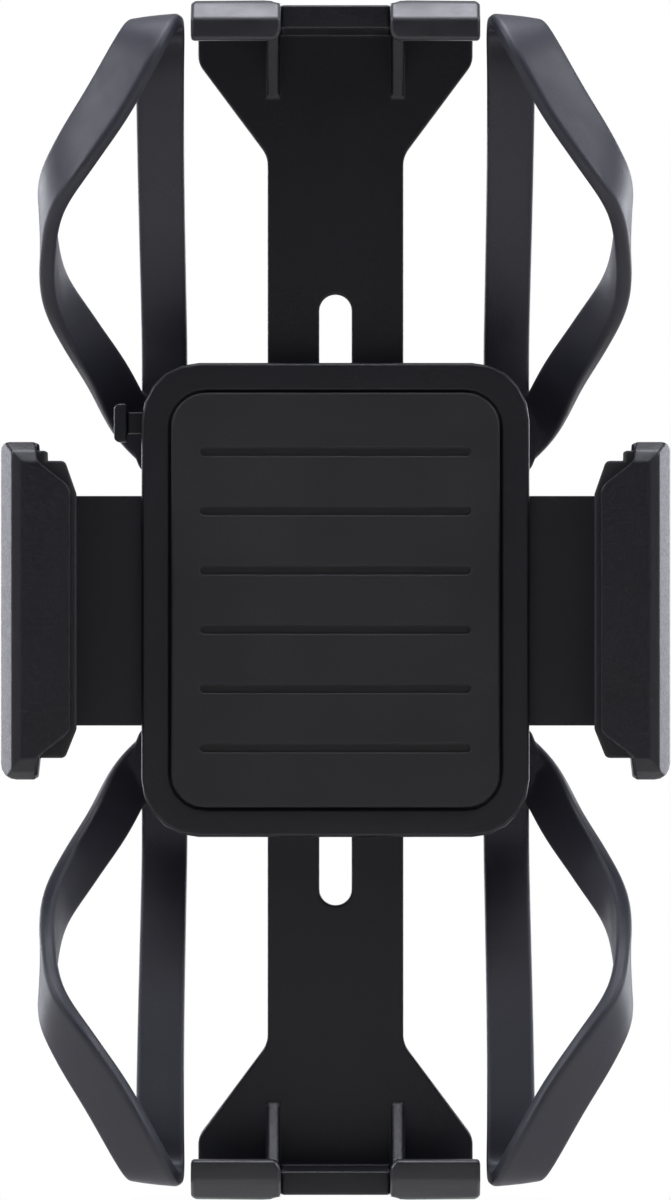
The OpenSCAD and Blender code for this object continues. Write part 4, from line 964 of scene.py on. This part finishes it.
def floor_material(tint):
    """Pale matt floor near the mount that turns to plain white far from it, and clear from below."""
    material, tree, shader = new_material("studio_floor")
    place = add(tree, "TexCoord").outputs["Object"]
    shader.inputs["Base Color"].default_value = (*tint, 1.0)
    shader.inputs["Roughness"].default_value = 0.9
    reach = add(tree, "VectorMath", operation="LENGTH")
    tree.links.new(place, reach.inputs[0])
    far = between(tree, reach.outputs["Value"], 0.35, 1.0)
    ray = add(tree, "LightPath")
    seen = arithmetic(tree, "MAXIMUM", ray.outputs["Is Camera Ray"], ray.outputs["Is Transmission Ray"])
    split = add(tree, "SeparateXYZ")
    tree.links.new(place, split.inputs[0])
    behind = between(tree, split.outputs["Y"], 0.0, 1.2)
    mirror = arithmetic(tree, "MULTIPLY", ray.outputs["Is Glossy Ray"], behind)
    seen = arithmetic(tree, "MAXIMUM", seen, arithmetic(tree, "MULTIPLY", mirror, 0.5))
    white = add(tree, "Emission", Strength=1.0)
    mix = add(tree, "MixShader")
    tree.links.new(arithmetic(tree, "MULTIPLY", far, seen), mix.inputs[0])
    tree.links.new(shader.outputs[0], mix.inputs[1])
    tree.links.new(white.outputs[0], mix.inputs[2])
    clear = add(tree, "MixShader")
    tree.links.new(add(tree, "NewGeometry").outputs["Backfacing"], clear.inputs[0])
    tree.links.new(mix.outputs[0], clear.inputs[1])
    tree.links.new(add(tree, "BsdfTransparent").outputs[0], clear.inputs[2])
    output = next(n for n in tree.nodes if n.type == "OUTPUT_MATERIAL")
    tree.links.new(clear.outputs[0], output.inputs["Surface"])
    return material


def floor_mesh(drop):
    """A round sheet: rings of points at radius * (cos, sin), evenly spaced in turn, at one height."""
    turn = np.linspace(0, 2 * math.pi, FLOOR_POINTS, endpoint=False)
    radius = np.array(FLOOR_RINGS)[:, None]
    index = np.arange(radius.size * FLOOR_POINTS).reshape(-1, FLOOR_POINTS)
    level = np.full(index.shape, CAD_LOW.z - drop)
    points = np.stack((radius * np.cos(turn), radius * np.sin(turn), level), -1)
    beside = np.roll(index, -1, 1)
    cells = np.stack((index[:-1], index[1:], beside[1:], beside[:-1]), -1).reshape(-1, 4)
    mesh = bpy.data.meshes.new("studio_floor")
    mesh.from_pydata(points.reshape(-1, 3), [], cells.tolist() + [index[0].tolist()])
    return mesh


class MOUNT_OT_studio(bpy.types.Operator):
    """Pale floor, soft lights and the camera in front"""
    bl_idname = "mount.studio"
    bl_label = "Studio"

    def execute(self, context):
        scene, studio = context.scene, context.scene.mount_studio
        mesh = floor_mesh(studio.floor_drop)
        mesh.materials.append(floor_material(tuple(studio.floor)))
        floor = bpy.data.objects.new("studio_floor", mesh)
        scene.collection.objects.link(floor)
        studio_world(studio.fill)
        middle = (CAD_LOW + CAD_HIGH) / 2
        softbox("softbox_top", (0, -0.12, 1.05), middle, 0.6, 0.85, studio.top_light)
        for side, sign in SIDES:
            softbox("softbox_rim_" + side, (sign * 0.76, 0.78, 0.03), middle, 0.32, 0.75, studio.rim_light)
            softbox("softbox_side_" + side, (sign * 0.95, -0.3, 0.6), middle, 0.45, 0.55, studio.side_light)
        softbox("softbox_front", (0, -1.0, 1.0), middle, 1.1, 0.7, studio.key_light, WHITE)
        lens = bpy.data.cameras.new("camera")
        camera = bpy.data.objects.new("camera", lens)
        scene.collection.objects.link(camera)
        distance = studio.camera_distance
        camera.location = (0, CAD_LOW.y - distance, 0)
        camera.rotation_euler = (math.radians(90), 0, 0)
        lens.lens = lens.sensor_width * (distance + FRAMED_DEPTH) / studio.view_height
        lens.clip_end = 30
        scene.camera = camera
        scene.view_settings.view_transform = "Standard"
        return {"FINISHED"}


class MOUNT_PT_pieces(bpy.types.Panel):
    """Buttons that build the mount, and its sizes and colours"""
    bl_label = "Phone mount"
    bl_idname = "MOUNT_PT_pieces"
    bl_space_type = "VIEW_3D"
    bl_region_type = "UI"
    bl_category = "Phone mount"

    def draw(self, context):
        for operator in OPERATORS:
            self.layout.operator(operator.bl_idname)
        for group in (context.scene.mount_sizes, context.scene.mount_finishes, context.scene.mount_studio):
            column = self.layout.column()
            for key in group.__annotations__:
                column.prop(group, key)


GROUPS = (MountSizes, MountFinishes, MountStudio)
OPERATORS = (MOUNT_OT_studio, MOUNT_OT_corner_harness, MOUNT_OT_jaw_shells, MOUNT_OT_jaw_pads,
             MOUNT_OT_toe_grips, MOUNT_OT_phone_pad, MOUNT_OT_bar_liners, MOUNT_OT_cradle_mouldings,
             MOUNT_OT_slide_mouldings, MOUNT_OT_clamp_mouldings, MOUNT_OT_hard_parts)


def register():
    for kind in (*GROUPS, *OPERATORS, MOUNT_PT_pieces):
        bpy.utils.register_class(kind)
    bpy.types.Scene.mount_sizes = bpy.props.PointerProperty(type=MountSizes)
    bpy.types.Scene.mount_finishes = bpy.props.PointerProperty(type=MountFinishes)
    bpy.types.Scene.mount_studio = bpy.props.PointerProperty(type=MountStudio)


def unregister():
    del bpy.types.Scene.mount_studio
    del bpy.types.Scene.mount_finishes
    del bpy.types.Scene.mount_sizes
    for kind in reversed((*GROUPS, *OPERATORS, MOUNT_PT_pieces)):
        bpy.utils.unregister_class(kind)


def main():
    """Build every piece and the studio."""
    register()
    for operator in OPERATORS:
        getattr(bpy.ops.mount, operator.bl_idname.split(".")[1])()


if __name__ == "__main__":
    main()
